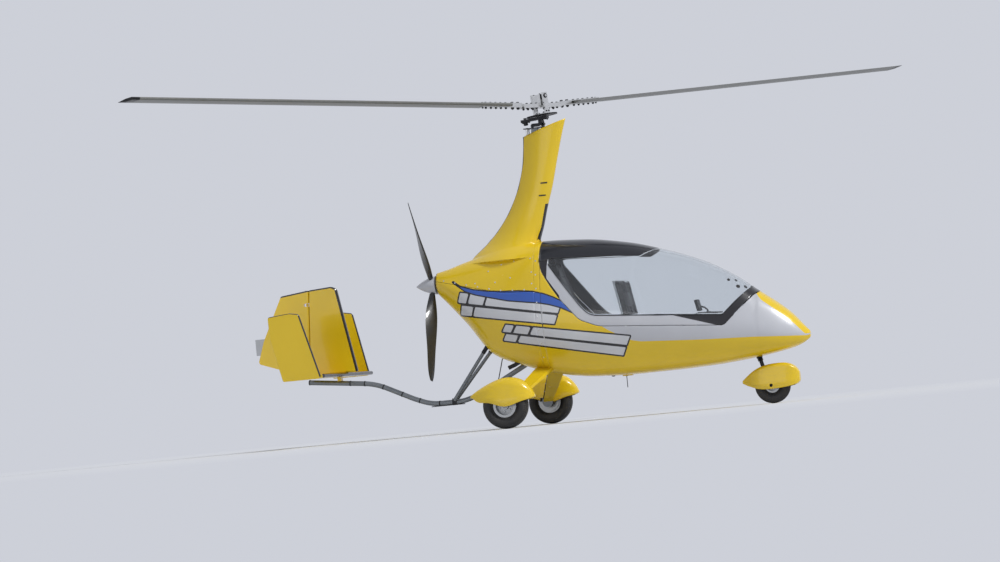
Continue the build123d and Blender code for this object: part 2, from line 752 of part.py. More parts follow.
def tub_part(outer, inner, canopy_zone, cowl_zone, fixed_hinges):
    """Lower body: the hull less canopy and cowl, cut for what passes through it."""
    tub = (outer - canopy_zone - cowl_zone) - inner - bow_solid(seat_gap) - boom_solid(seat_gap)
    tub = largest(tub - shaft_housing(seat_gap) - sleeve_room())
    for side in (-1, 1):
        tub = tub - strut_solid(side, seat_gap)
    tub = largest(tub)
    for piece in fixed_hinges:
        tub = tub + piece
    keep("fuselage_tub", tub)


def cowl_part(outer, inner, canopy_zone, cowl_zone):
    """Engine cowl in one moulding with the mast fairing."""
    cowl = (outer & cowl_zone) + mast_solid() - canopy_zone
    cowl = cowl - inner - mast_solid(mast_sections[1:-1], mast_skin)
    cowl = cowl - mast_tube(seat_gap) - shaft_housing(seat_gap)
    above_roof = block(cowl_front_x - 4.0, mast_reach, -200.0, 200.0, zone_top_z, cowl_outline[0][1])
    keep("mast_cowl", largest((cowl - beyond_mast_top(mast_ceiling_z)) & (cowl_zone + above_roof)))


def canopy_parts(outer, inner, thin, moving_hinges):
    """Canopy frame with its hinge halves, dark roof and window glass."""
    lens = outer & side_zone(shifted(canopy_outline, swing_gap))
    roof_zone, glass_zone = side_zone(roof_outline), side_zone(glass_outline)
    shell = lens - inner
    frame = largest(shell - roof_zone - glass_zone)
    for piece in moving_hinges:
        frame = frame + piece
    keep("canopy_frame", frame)
    keep("canopy_roof", largest(shell & roof_zone))
    keep("canopy_glass", largest(((lens & glass_zone) - roof_zone) - thin))


def bulkhead_parts(outer, inner):
    """Firewall, cabin floor and the antenna under the belly."""
    reach = hull_half_reach
    wall = inner & block(firewall_x, firewall_x + firewall_thickness, -reach, reach, 0, 2000)
    keep("firewall", largest(wall - bow_solid(seat_gap)))
    rear = firewall_x + firewall_thickness
    floor = inner & block(rear, hollow_front_x, -reach, reach, floor_z, floor_top_z)
    keep("cabin_floor", largest(floor - sleeve_room()))
    antenna = upright_bar(antenna_x, 0, antenna_tip_z, antenna_top_z, antenna_radius)
    base_z = antenna_top_z - antenna_base_height
    antenna = antenna + upright_bar(antenna_x, 0, base_z, antenna_top_z, antenna_base_radius)
    keep("belly_antenna", antenna - outer)


def fuselage_parts():
    """Tub, cowl with the mast fairing, canopy, firewall and floor, all cut from one hull."""
    outer = hull()
    inner = hull(skin, front=hollow_front_x, rear=hollow_rear_x)
    thin = hull(glass_thickness, front=hollow_front_x, rear=hollow_rear_x)
    canopy_zone, cowl_zone = side_zone(canopy_outline), side_zone(cowl_outline)
    fixed_hinges, moving_hinges = hinge_parts(inner)
    tub_part(outer, inner, canopy_zone, cowl_zone, fixed_hinges)
    cowl_part(outer, inner, canopy_zone, cowl_zone)
    canopy_parts(outer, inner, thin, moving_hinges)
    bulkhead_parts(outer, inner)


def keel_parts():
    """Boom, its twin struts, the mast tube and the gear bow."""
    keep("keel_boom", largest(boom_solid() - boom_solid(-boom_wall) - mast_tube(seat_gap)))
    for side, name in ((1, "left"), (-1, "right")):
        keep("tail_strut_" + name, largest(strut_solid(side) - boom_solid(seat_gap)))
    keep("mast_tube", mast_tube() - mast_tube(-mast_tube_wall))
    keep("main_gear_bow", bow_solid())


def engine_parts():
    """Engine block with its shaft housing, mounted on the mast tube."""
    half = engine_half_width
    engine = block(engine_front_x, engine_rear_x, -half, half, engine_bottom_z, engine_top_z)
    engine = fillet(engine.edges().filter_by(Axis.X), engine_edge_radius)
    engine = engine + shaft_housing()
    for z in (engine_bottom_z + engine_arm_inset, engine_top_z - engine_arm_inset):
        engine = engine + long_bar(engine_front_x, mast_foot[0] + engine_arm_inset, z, engine_arm_radius)
    bore = long_bar(shaft_housing_end_x - 1, shaft_housing_end_x + shaft_bore_depth, propeller_z,
                    shaft_radius + pin_clearance)
    keep("engine", largest(engine - bore - mast_tube(seat_gap)))


def propeller_blade(outward):
    """One twisted blade along a direction square to the shaft, and the round shank it stands on."""
    forward = Vector(1, 0, 0)
    root = Vector(propeller_x, 0, propeller_z)
    faces = []
    for radius, chord, thickness, pitch in propeller_sections:
        lean = radians(pitch)
        chord_dir = forward.cross(outward) * cos(lean) + forward * sin(lean)
        plane = Plane(origin=root + outward * radius, x_dir=chord_dir, z_dir=outward)
        faces.append(blade_face(plane, chord, thickness, 0.4, 1.0))
    shank_start, shank_end = outward * blade_shank_start, outward * (propeller_sections[0][0] + 2.0)
    return loft(faces), bar(tuple(root + shank_start), tuple(root + shank_end), blade_shank_radius)


def propeller_parts():
    """Spinner with its shaft, and the blades set in it."""
    base, tip, radius = spinner_base_x, spinner_tip_x, spinner_radius
    along, out = spinner_shoulder
    profile = Wire([
        Line((base, 0), (base, radius)),
        ThreePointArc((base, radius), (base - along * (base - tip), out * radius), (tip, spinner_tip_radius)),
        Line((tip, spinner_tip_radius), (tip, 0)),
        Line((tip, 0), (base, 0)),
    ])
    spinner = Pos(0, 0, propeller_z) * revolve(make_face(profile), axis=Axis.X)
    spinner = spinner + long_bar(base, base + shaft_length, propeller_z, shaft_radius)
    for i in range(propeller_blade_count):
        angle = radians(propeller_rest_angle + i * 360.0 / propeller_blade_count)
        blade, shank = propeller_blade(Vector(0, -cos(angle), sin(angle)))
        keep("propeller_blade_" + str(i + 1), blade + shank)
        spinner = spinner - shank
    keep("propeller_spinner", largest(spinner))


def wheel_parts(name, place, radius, width, rim_radius, axle_radius, hub_half):
    """Tyre and rim of one wheel, turning about a line across the machine."""
    w, wall = width / 2, radius - rim_radius

    def side_point(shares, side):
        return (rim_radius + shares[0] * wall, side * shares[1] * w)

    bead = bead_share * w
    tyre = Wire([
        Line((rim_radius, -bead), (rim_radius, bead)),
        Line((rim_radius, bead), side_point(tyre_bead, 1)),
        ThreePointArc(side_point(tyre_bead, 1), side_point(tyre_bulge, 1), side_point(tyre_shoulder, 1)),
        ThreePointArc(side_point(tyre_shoulder, 1), (radius, 0), side_point(tyre_shoulder, -1)),
        ThreePointArc(side_point(tyre_shoulder, -1), side_point(tyre_bulge, -1), side_point(tyre_bead, -1)),
        Line(side_point(tyre_bead, -1), (rim_radius, -bead)),
    ])
    keep(name + "_tyre", Pos(*place) * revolve(make_face(tyre), axis=Axis.Y))
    bore, hub, well = axle_radius + pin_clearance, hub_radius_share * axle_radius, rim_well_share * rim_radius
    web_hub, web_rim = rim_web_shares[0] * w, rim_web_shares[1] * w
    rim = Wire(Polyline(
        (bore, -hub_half), (hub, -hub_half), (hub, -web_hub), (well, -web_rim), (well, -bead),
        (rim_radius, -bead), (rim_radius, bead), (well, bead), (well, web_rim), (hub, web_hub),
        (hub, hub_half), (bore, hub_half), (bore, -hub_half)))
    keep(name + "_rim", Pos(*place) * revolve(make_face(rim), axis=Axis.Y))


def main_gear_parts():
    """Both main wheels with axles and fairings."""
    x, z = main_wheel_x, main_wheel_radius
    for side, name in ((1, "left"), (-1, "right")):
        y, inner_y = side * main_wheel_y, side * bow_end_y
        wheel_parts("main_wheel_" + name, (x, y, z), main_wheel_radius, main_tyre_width, main_rim_radius,
                    main_axle_radius, main_hub_half)
        axle = cross_bar(x, z, inner_y, y + side * main_axle_overhang, main_axle_radius)
        axle = axle + cross_bar(x, z, inner_y, inner_y + side * axle_flange_thickness, axle_flange_radius)
        axle = axle + cross_bar(x, z, inner_y, y - side * axle_collar_gap, axle_collar_radius)
        keep("main_axle_" + name, axle)
        shell = wheel_fairing(main_fairing_sections, y, main_fairing_crown, main_fairing_corner)
        shell = shell - wheel_fairing(main_fairing_sections[1:-1], y, main_fairing_crown, main_fairing_corner,
                                      fairing_skin, main_fairing_opening)
        slot = axle_collar_radius + seat_gap
        shell = shell - cross_bar(x, z, inner_y, y, slot)
        shell = shell - block(x - slot, x + slot, min(inner_y, y), max(inner_y, y), z - axle_slot_depth, z)
        keep("main_fairing_" + name, largest(shell))


def fork_part(half):
    """Steered fork: curved crown over the tyre, two legs, stem and hollow axle."""
    x, z = nose_wheel_x, nose_wheel_radius
    ring_low = nose_wheel_radius + fork_tyre_gap
    arch = cross_bar(x, z, -half, half, ring_low + fork_crown_thickness)
    arch = arch - cross_bar(x, z, -half - 1, half + 1, ring_low)
    sector = [(x + px, z + pz, 0.0) for px, pz in fork_crown_sector]
    outline = [(x + px, z + pz, radius) for px, pz, radius in fork_leg_outline]
    leg = side_zone(outline)
    far = 2 * nose_wheel_radius
    legs = leg & (block(x - far, x + far, fork_half_space, half, 0, 2 * far)
                  + block(x - far, x + far, -half, -fork_half_space, 0, 2 * far))
    stem = steer_bar(steer_stem_foot, steer_sleeve_length + steer_stem_head, steer_stem_radius)
    stem = stem - cross_bar(x, z, -half, half, ring_low)
    fork = (arch & side_zone(sector)) + legs + stem + cross_bar(x, z, -half, half, nose_axle_radius)
    bore = cross_bar(x, z, -half - cut_margin, half + cut_margin, tow_bore_radius)
    keep("nose_fork", largest(fork - bore))


def nose_gear_parts():
    """Steered nose wheel: sleeve, fork, wheel and fairing."""
    x, z = nose_wheel_x, nose_wheel_radius
    wheel_parts("nose_wheel", (x, 0.0, z), nose_wheel_radius, nose_tyre_width, nose_rim_radius,
                nose_axle_radius, nose_hub_half)
    sleeve = steer_bar(steer_sleeve_foot, steer_sleeve_length, steer_sleeve_radius)
    bore = steer_bar(-cut_margin, steer_sleeve_length + cut_margin, steer_stem_radius + pin_clearance)
    keep("steering_sleeve", sleeve - bore)
    half = fork_half_space + fork_leg_thickness
    fork_part(half)
    shell = wheel_fairing(nose_fairing_sections, 0.0, nose_fairing_crown, nose_fairing_corner)
    shell = shell - wheel_fairing(nose_fairing_sections[1:-1], 0.0, nose_fairing_crown, nose_fairing_corner,
                                  fairing_skin, nose_fairing_opening)
    shell = shell - steer_bar(-stem_hole_depth, 0, steer_stem_radius + seat_gap)
    access = cross_bar(x, z, -half - cut_margin, half + cut_margin, tow_access_radius)
    keep("nose_fairing", largest(shell - access))


def outer_fin(side):
    """Canted fin at one end of the stabiliser."""
    fin = upright_plate(*split(outer_fin_outline), outer_fin_thickness)
    faces_y = outer_fin_thickness * 0.49
    fin = chamfer(fin.edges().filter_by(lambda e: abs(e.center().Y) > faces_y), outer_fin_chamfer)
    y = side * (stabiliser_half_span + outer_fin_thickness / 2 - fin_joint_depth)
    return Pos(0, y, stabiliser_bottom_z - outer_fin_foot) * (Rot(X=-side * outer_fin_cant) * fin)


def stabiliser_part(fins):
    """Tailplane with its saddles on the boom, cut back for fins and rudder."""
    half = stabiliser_half_span
    chord = stabiliser_front_x - stabiliser_rear_x
    middle_z = stabiliser_bottom_z + stabiliser_thickness / 2
    origin = (stabiliser_front_x - stabiliser_nose_share * chord, -half, middle_z)
    plane = Plane(origin=origin, x_dir=(1, 0, 0), z_dir=(0, 1, 0))
    section = blade_face(plane, chord, stabiliser_thickness, stabiliser_nose_share, stabiliser_edge,
                         stabiliser_flat_share)
    stabiliser = extrude(section, amount=2 * half)
    notch, front = rudder_notch_half_width, stabiliser_rear_x + rudder_notch_depth
    stabiliser = stabiliser - block(stabiliser_rear_x - cut_margin, front, -notch, notch,
                                    stabiliser_bottom_z - cut_margin, stabiliser_bottom_z + 2 * cut_margin)
    for fin in fins:
        stabiliser = stabiliser - fin
    for x in saddle_stations:
        saddle = block(x - saddle_length / 2, x + saddle_length / 2, -saddle_half_width, saddle_half_width,
                       saddle_bottom_z, stabiliser_bottom_z + 1)
        stabiliser = stabiliser + (saddle - boom_solid(seat_gap))
    keep("stabiliser", largest(stabiliser))


def hinge_x(z):
    """Station of the rudder's hinge line at a height."""
    return hinge_line_bottom[0] + hinge_line_slope * (z - hinge_line_bottom[1])


def hinge_bar(z, reach, radius):
    """Round bar along the rudder's hinge line, reach to each side of a height."""
    lean = Vector(hinge_line_slope, 0, 1).normalized()
    middle = Vector(hinge_x(z), 0, z)
    return bar(tuple(middle - lean * reach), tuple(middle + lean * reach), radius)


def rudder_blank():
    """Rudder before its hinge slots: round nose on the hinge line, flat sides that taper to the rear."""
    points, radii = split(rudder_outline)
    foot, top = (hinge_x(rudder_bottom_z), rudder_bottom_z), (hinge_x(rudder_top_z), rudder_top_z)
    rudder = upright_plate([foot, top] + points, [0.0, 0.0] + radii, rudder_thickness)
    for side in (1, -1):
        near, far = side * rudder_thickness / 2, side * rudder_edge_thickness / 2
        outside, start, end = side * cut_margin, rudder_taper_start_x, rudder_taper_end_x
        wedge = Polyline((start, near), (end, far), (end, outside), (start, outside), (start, near))
        height = rudder_top_z - rudder_bottom_z + 4 * cut_margin
        wedge = extrude(make_face(Wire(wedge)), amount=height, dir=(0, 0, 1))
        rudder = rudder - Pos(0, 0, rudder_bottom_z - 2 * cut_margin) * wedge
    return rudder + bar((foot[0], 0, foot[1]), (top[0], 0, top[1]), rudder_thickness / 2)


def tail_parts():
    """Stabiliser, fins, rudder and trim tab."""
    fins = [outer_fin(1), outer_fin(-1)]
    keep("outer_fin_left", fins[0])
    keep("outer_fin_right", fins[1])
    stabiliser_part(fins)
    foot = stabiliser_bottom_z + stabiliser_thickness + seat_gap
    gap = rudder_thickness / 2 + swing_gap
    points = ((fin_front_foot_x, foot), fin_front_top, (fin_crown_x, fin_top_z),
              (hinge_x(fin_rear_top_z) + gap, fin_rear_top_z), (hinge_x(foot) + gap, foot))
    fin = upright_plate(points, (10, 40, 60, 0, 0), fin_thickness)
    faces_y, ahead = fin_thickness * 0.49, hinge_line_top[0] + fin_chamfer_start
    edges = fin.edges().filter_by(lambda e: abs(e.center().Y) > faces_y and e.center().X > ahead)
    fin = chamfer(edges, fin_edge_chamfer)
    rudder = rudder_blank()
    side, lug_half = rudder_lug_thickness / 2, rudder_lug_height / 2
    slot_half, plate_half = lug_half + rudder_slot_gap, lug_half - rudder_lug_inset
    bore_radius = rudder_pin_radius + pin_clearance
    for z in rudder_hinge_heights:
        x = hinge_x(z)
        rudder = rudder - block(x - rudder_slot_rear, x + rudder_slot_front, -cut_margin, cut_margin,
                                z - slot_half, z + slot_half)
        rudder = rudder + hinge_bar(z, slot_half + rudder_slot_gap, rudder_pin_radius)
        lug = hinge_bar(z, lug_half, rudder_lug_radius)
        lug = lug + block(x, x + gap + rudder_lug_sink, -side, side, z - plate_half, z + plate_half)
        fin = fin + (lug - hinge_bar(z, rudder_lug_height + rudder_slot_gap, bore_radius))
    keep("centre_fin", fin)
    keep("rudder", rudder)
    tab = block(tab_front_x + tab_overlap, tab_rear_x, tab_offset_y, tab_offset_y + tab_thickness,
                tab_bottom_z, tab_top_z)
    keep("rudder_trim_tab", tab - rudder)


def head_lean_turn(shape):
    """Lean a level piece of the rotor head back about the pitch pivot."""
    back = Pos(pitch_axis_x, 0, pitch_axis_z) * (Rot(Y=-head_lean) * Pos(-pitch_axis_x, 0, -pitch_axis_z))
    return back * shape


def rotor_turn(shape):
    """Turn a piece that spins with the rotor to its rest direction, and lean it with the head."""
    return head_lean_turn(Rot(Z=rotor_azimuth) * shape)


def teeter_turn(shape):
    """Teeter a piece to its rest angle about the teeter bolt, then place it with the rotor."""
    teeter = Pos(0, 0, teeter_axis_z) * (Rot(Y=rotor_rest_teeter) * Pos(0, 0, -teeter_axis_z))
    return rotor_turn(teeter * shape)


def head_base_parts():
    """Head plate with its roll lugs and bolt, and the studs under it."""
    half = head_plate_half_width
    plate = block(head_plate_rear_x, head_plate_front_x, -half, half, head_plate_bottom_z, head_plate_top_z)
    for x in (roll_lug_rear_x, roll_lug_front_x):
        x0, x1 = x - roll_lug_thickness / 2, x + roll_lug_thickness / 2
        side = roll_lug_half_width
        plate = plate + block(x0, x1, -side, side, head_plate_top_z, roll_axis_z - roll_lug_waist)
        plate = plate + long_bar(x0, x1, roll_axis_z, roll_lug_radius)
    bolt = long_bar(roll_lug_rear_x - pivot_bolt_end, roll_lug_front_x + pivot_bolt_end, roll_axis_z,
                    pivot_bolt_radius)
    keep("head_base", plate + bolt)
    studs = []
    for x in head_stud_stations:
        for y in (-head_stud_offset, head_stud_offset):
            stud = upright_bar(x, y, mast_top_z(x) - head_stud_sink, head_plate_bottom_z, head_stud_radius)
            studs.append(stud - beyond_mast_top(2000.0))
    keep("head_mount_studs", Part() + studs)


def gimbal_part():
    """Block that rolls on the head base and carries the pitch bolt."""
    clear = roll_lug_thickness / 2 + gimbal_side_gap
    rear, front = roll_lug_rear_x + clear, roll_lug_front_x - clear
    half, bore = gimbal_half_width, pivot_bolt_radius + pin_clearance
    low, high = roll_axis_z - gimbal_half_height, roll_axis_z + gimbal_half_height
    gimbal = block(rear, front, -half, half, low, high)
    gimbal = gimbal + block(pitch_axis_x - gimbal_post_half, front, -half, half, roll_axis_z,
                            pitch_axis_z + gimbal_post_rise)
    gimbal = gimbal - long_bar(-mast_reach, mast_reach, roll_axis_z, bore)
    keep("gimbal_block", gimbal - cross_bar(pitch_axis_x, pitch_axis_z, -mast_reach, mast_reach, bore))


def bearing_frame_part():
    """Frame that pitches on the gimbal and holds the rotor shaft's bearing."""
    x, z = pitch_axis_x, pitch_axis_z
    low, high = bearing_frame_bottom_z, bearing_frame_top_z
    arm, half = bearing_arm_half_width, bearing_frame_half_width
    frame = block(bearing_frame_rear_x, bearing_frame_front_x, -arm, arm, low, high)
    frame = frame + block(bearing_shoulder_x, bearing_frame_front_x, -half, half, low, high)
    for side in (-1, 1):
        y0, y1 = side * (gimbal_half_width + swing_gap), side * half
        cheek = block(x - pitch_lug_radius, x + pitch_lug_radius, min(y0, y1), max(y0, y1), z, low)
        frame = frame + cheek + cross_bar(x, z, y0, y1, pitch_lug_radius)
    frame = frame + cross_bar(x, z, -pitch_bolt_reach, pitch_bolt_reach, pivot_bolt_radius)
    bore = upright_bar(0, 0, high - bearing_bore_depth, high + 20, rotor_shaft_radius + pin_clearance)
    keep("bearing_frame", head_lean_turn(frame - bore))


def rotor_mast_parts():
    """Ring gear, and the towers that hold the teeter bolt, with the shaft."""
    low, high = ring_gear_bottom_z, ring_gear_top_z
    gear = upright_bar(0, 0, low, high, ring_gear_radius)
    gear = gear - upright_bar(0, 0, low - 1, high + 1, rotor_shaft_radius + seat_gap)
    keep("ring_gear", head_lean_turn(gear))
    half, outside = tower_width / 2, tower_offset + tower_thickness / 2
    tower = block(-half, half, -outside, outside, high, high + tower_foot_thickness)
    for side in (-1, 1):
        y0, y1 = side * (tower_offset - tower_thickness / 2), side * outside
        tower = tower + block(-half, half, min(y0, y1), max(y0, y1), high, tower_top_z)
    reach = outside + teeter_bolt_head
    tower = tower + cross_bar(0, teeter_axis_z, -reach, reach, teeter_bolt_radius)
    tower = tower + upright_bar(0, 0, bearing_frame_top_z - rotor_shaft_foot, high + 2, rotor_shaft_radius)
    keep("rotor_tower", rotor_turn(tower))


def rotor_parts():
    """Hub bar on the teeter bolt, blade grips and blades."""
    half, outside, depth = hub_bar_width / 2, grip_inner - hub_bar_margin, hub_bar_thickness / 2
    hub = block(-outside, outside, -half, half, hub_bar_z - depth, hub_bar_z + depth)
    hub = hub + block(-teeter_block_half_length, teeter_block_half_length, -teeter_block_half_width,
                      teeter_block_half_width, hub_bar_z, teeter_axis_z + teeter_block_rise)
    hub = hub - cross_bar(0, teeter_axis_z, -mast_reach, mast_reach, teeter_bolt_radius + pin_clearance)
    grip_front = grip_rear + grip_width
    plane = Plane(origin=(blade_root, 0, 0), x_dir=(0, 1, 0), z_dir=(1, 0, 0))
    section = blade_face(plane, blade_chord, blade_thickness, blade_nose_share, blade_edge, blade_flat_share)
    for heading, name in ((0, "forward"), (180, "aft")):
        cone = Pos(0, 0, hub_bar_z) * (Rot(Z=heading) * Rot(Y=-rotor_precone))
        blade = extrude(section, amount=rotor_radius - blade_root, dir=(1, 0, 0))
        keep("rotor_blade_" + name, teeter_turn(cone * blade))
        grips = []
        for level in (1, -1):
            z0 = level * (blade_thickness / 2 + seat_gap)
            z1 = z0 + level * grip_thickness
            grips.append(block(grip_inner, grip_outer, grip_rear, grip_front, min(z0, z1), max(z0, z1)))
        keep("blade_grip_" + name, teeter_turn(cone * (Part() + grips)))
        hub = hub + cone * block(grip_inner - hub_tongue_depth, hub_bar_half_length, grip_rear, grip_front,
                                 -blade_thickness / 2, blade_thickness / 2)
    keep("hub_bar", teeter_turn(hub))


def head_parts():
    """Rotor head from the head plate up to the blades."""
    head_base_parts()
    gimbal_part()
    bearing_frame_part()
    rotor_mast_parts()
    rotor_parts()


def cushion(origin, along, out, end, thickness):
    """Pad that lies on a seat line: it starts past the bend and stands off the shell by a resting gap."""
    low = seat_shell + seat_gap
    high = seat_shell + seat_gap + thickness
    corners = [origin + along * cushion_start + out * low, origin + along * end + out * low,
               origin + along * end + out * high, origin + along * cushion_start + out * high]
    half = seat_width / 2 - cushion_margin
    return side_plate([(v.X, v.Z) for v in corners], cushion_corner_radii, half)


def seat_parts():
    """Front and rear seats with their cushions."""
    for name, front_x, front_z, bend_x, bend_z, top_x, top_z in seat_rows:
        bend = Vector(bend_x, 0, bend_z)
        base_line, back_line = Vector(front_x, 0, front_z) - bend, Vector(top_x, 0, top_z) - bend
        a, b = base_line.normalized(), back_line.normalized()
        na, nb = Vector(-a.Z, 0, a.X), Vector(b.Z, 0, -b.X)
        middle = bend + (a + b).normalized() * (seat_shell / sin(acos(a.dot(b)) / 2))
        top, front = bend + back_line + nb * seat_shell, bend + base_line + na * seat_shell
        ring = ((front_x, front_z), (bend_x, bend_z), (top_x, top_z), (top.X, top.Z),
                (middle.X, middle.Z), (front.X, front.Z))
        seat = side_plate(ring, (0, seat_bend_radius, 0, 0, seat_inner_radius, 0), seat_width / 2)
        (rear_foot, rear_head), (front_foot, front_head) = seat_leg_rear, seat_leg_front
        legs = ((bend_x + rear_foot, floor_top_z), (front_x - front_foot, floor_top_z),
                (front_x - front_head, front_z + seat_leg_sink), (bend_x + rear_head, bend_z + seat_leg_sink))
        for side in (-1, 1):
            middle_y = side * (seat_width / 2 - seat_leg_inset - seat_leg_thickness / 2)
            seat = seat + Pos(0, middle_y, 0) * side_plate(legs, (0, 0, 0, 0), seat_leg_thickness / 2)
        keep(name + "_seat", seat)
        base_end, back_end = base_line.length - cushion_end_gap, back_line.length - cushion_end_gap
        keep(name + "_seat_cushion", cushion(bend, a, na, base_end, cushion_thickness))
        keep(name + "_backrest_cushion", cushion(bend, b, nb, back_end, backrest_thickness))


def cabin_parts():
    """Instrument panel, stick, pedals and throttle."""
    rear, front, half = panel_post
    hood = side_plate(*split(panel_outline), panel_half_width)
    keep("instrument_panel", hood + block(rear, front, -half, half, floor_top_z, panel_post_top_z))
    stick = slanted_bar(stick_foot, stick_knee, 0, stick_radius)
    stick = stick + slanted_bar(stick_grip_foot, stick_top, 0, stick_grip_radius)
    boot_top = floor_top_z + stick_boot_height
    stick = stick + upright_bar(stick_boot_x, 0, floor_top_z, boot_top, stick_boot_radius)
    keep("control_stick", stick)
    pedals = Part()
    rear_x = pedal_x - pedal_setback
    for y in (-pedal_offset, pedal_offset):
        pedals = pedals + block(rear_x, rear_x + pedal_thickness, y - pedal_half_width, y + pedal_half_width,
                                pedal_bottom_z, pedal_top_z)
        pedals = pedals + upright_bar(pedal_x, y, floor_top_z, pedal_rod_top_z, pedal_rod_radius)
    cross = cross_bar(pedal_x, floor_top_z + pedal_bar_height, -pedal_offset, pedal_offset, pedal_rod_radius)
    keep("rudder_pedals", pedals + cross)
    x0, x1, y0, y1 = throttle_box
    box = block(x0, x1, y0, y1, floor_top_z, throttle_box_top_z)
    keep("throttle_lever", box + slanted_bar(throttle_foot, throttle_top, (y0 + y1) / 2, throttle_radius))


os.makedirs("parts", exist_ok=True)
fuselage_parts()
keel_parts()
engine_parts()
propeller_parts()
main_gear_parts()
nose_gear_parts()
tail_parts()
head_parts()
seat_parts()
cabin_parts()
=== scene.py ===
import bmesh
import bpy
import math
import numpy as np
from itertools import product
from mathutils import Matrix, Vector


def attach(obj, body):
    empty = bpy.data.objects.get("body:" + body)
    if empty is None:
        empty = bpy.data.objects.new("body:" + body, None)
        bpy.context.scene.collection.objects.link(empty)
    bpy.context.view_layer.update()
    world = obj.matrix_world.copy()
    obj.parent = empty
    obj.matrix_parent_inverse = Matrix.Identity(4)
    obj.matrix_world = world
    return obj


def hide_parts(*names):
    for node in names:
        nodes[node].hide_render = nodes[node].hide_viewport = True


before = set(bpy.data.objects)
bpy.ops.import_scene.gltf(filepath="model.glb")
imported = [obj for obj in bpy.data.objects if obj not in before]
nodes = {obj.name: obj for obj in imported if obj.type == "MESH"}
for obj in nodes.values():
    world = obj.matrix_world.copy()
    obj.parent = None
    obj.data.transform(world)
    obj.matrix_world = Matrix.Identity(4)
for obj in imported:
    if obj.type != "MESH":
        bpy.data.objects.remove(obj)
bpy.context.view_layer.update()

# Enclosed tandem gyrocopter: smooth skins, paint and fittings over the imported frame.
# Tables are in millimetres ahead of the rotor hub; hubStation carries them over the frame's origin.
hubStation = 92.0
print("stage 1: frame with", len(nodes), "nodes")


def addObject(name, data):
    # A new object at the origin.
    thing = bpy.data.objects.new(name, data)
    bpy.context.scene.collection.objects.link(thing)
    return thing


# The lens stands at floor level, where the photograph looks up from below.
photoCamera = dict(azimuth=14.456, roll=-5.455, height=0.16, distance=38.0, focalPixels=4541.0,
                   aim=(0.0, 0.0, 1.4), slideRight=0.4676, slideUp=0.2125)


def placeCamera(spec):
    # The back axis points from the aim to the lens; the elevation is the one that sets the lens at its height.
    # Right and up turn about that axis by the roll, and the slides shift the aim in the picture plane.
    a, roll = math.radians(spec["azimuth"]), math.radians(spec["roll"])
    drop = spec["height"] - spec["aim"][2] + spec["slideUp"]
    e = math.asin(drop / spec["distance"])
    back = np.array([math.sin(a) * math.cos(e), -math.cos(a) * math.cos(e), math.sin(e)])
    right = np.array([math.cos(a), math.sin(a), 0.0])
    up = np.cross(back, right)
    turnedRight = right * math.cos(roll) + up * math.sin(roll)
    turnedUp = up * math.cos(roll) - right * math.sin(roll)
    aim = np.array(spec["aim"]) + np.array([hubStation / 1000, 0, 0])
    place = aim + back * spec["distance"] - turnedRight * spec["slideRight"] - turnedUp * spec["slideUp"]
    data = bpy.data.cameras.new("photoCamera")
    data.sensor_width = 36.0
    data.lens = spec["focalPixels"] * 36.0 / 1000.0
    data.clip_start, data.clip_end = 0.5, 400.0
    camera = addObject("photoCamera", data)
    frameMatrix = Matrix.Identity(4)
    for k in range(3):
        frameMatrix[k][0], frameMatrix[k][1] = turnedRight[k], turnedUp[k]
        frameMatrix[k][2], frameMatrix[k][3] = back[k], place[k]
    camera.matrix_world = frameMatrix
    bpy.context.scene.camera = camera


placeCamera(photoCamera)
scene = bpy.context.scene
scene.view_settings.view_transform = "Standard"


def freshMaterial(name):
    # A new material with its tree emptied down to the output.
    material = bpy.data.materials.new(name)
    material.use_nodes = True
    tree = material.node_tree
    tree.nodes.clear()
    output = tree.nodes.new("ShaderNodeOutputMaterial")
    return material, tree, output


def feed(tree, socket, value):
    # Gives a socket either a link from another socket or a plain value.
    if isinstance(value, bpy.types.NodeSocket):
        tree.links.new(value, socket)
    elif isinstance(value, (tuple, list)) and len(value) == 3 and len(socket.default_value) == 4:
        socket.default_value = (*value, 1.0)
    else:
        socket.default_value = value


def addNode(tree, kind, settings=None, **inputs):
    # One node: attributes from settings, sockets by name with spaces written as underscores or i0, i1 by index.
    node = tree.nodes.new(kind)
    for key, value in (settings or {}).items():
        setattr(node, key, value)
    for key, value in inputs.items():
        byIndex = key[0] == "i" and key[1:].isdigit()
        feed(tree, node.inputs[int(key[1:])] if byIndex else node.inputs[key.replace("_", " ")], value)
    return node


def mathNode(tree, operation, a, b=0.0, c=0.0):
    # One arithmetic step on up to three numbers.
    return addNode(tree, "ShaderNodeMath", {"operation": operation}, i0=a, i1=b, i2=c).outputs[0]


def scaled(tree, value, factor, base=0.0):
    # value x factor + base.
    return mathNode(tree, "MULTIPLY_ADD", value, factor, base)


def stepUp(tree, value, start, end):
    # A clamped ramp: 0 at start, 1 at end, straight between.
    return addNode(tree, "ShaderNodeMapRange", {"clamp": True}, i0=value, i1=start, i2=end, i3=0.0, i4=1.0).outputs[0]


def mixColour(tree, share, a, b):
    # Colour a at share 0 and colour b at share 1.
    return addNode(tree, "ShaderNodeMix", {"data_type": "RGBA"}, i0=share, i6=a, i7=b).outputs[2]


def shaded(colour, factor):
    # The colour times the factor, at most 1.
    return tuple(min(1.0, c * factor) for c in colour)


def objectPlace(tree):
    # The piece's own coordinates in metres.
    return addNode(tree, "ShaderNodeTexCoord").outputs["Object"]


def objectAxis(tree, axis):
    # One of those coordinates.
    return addNode(tree, "ShaderNodeSeparateXYZ", Vector=objectPlace(tree)).outputs[axis]


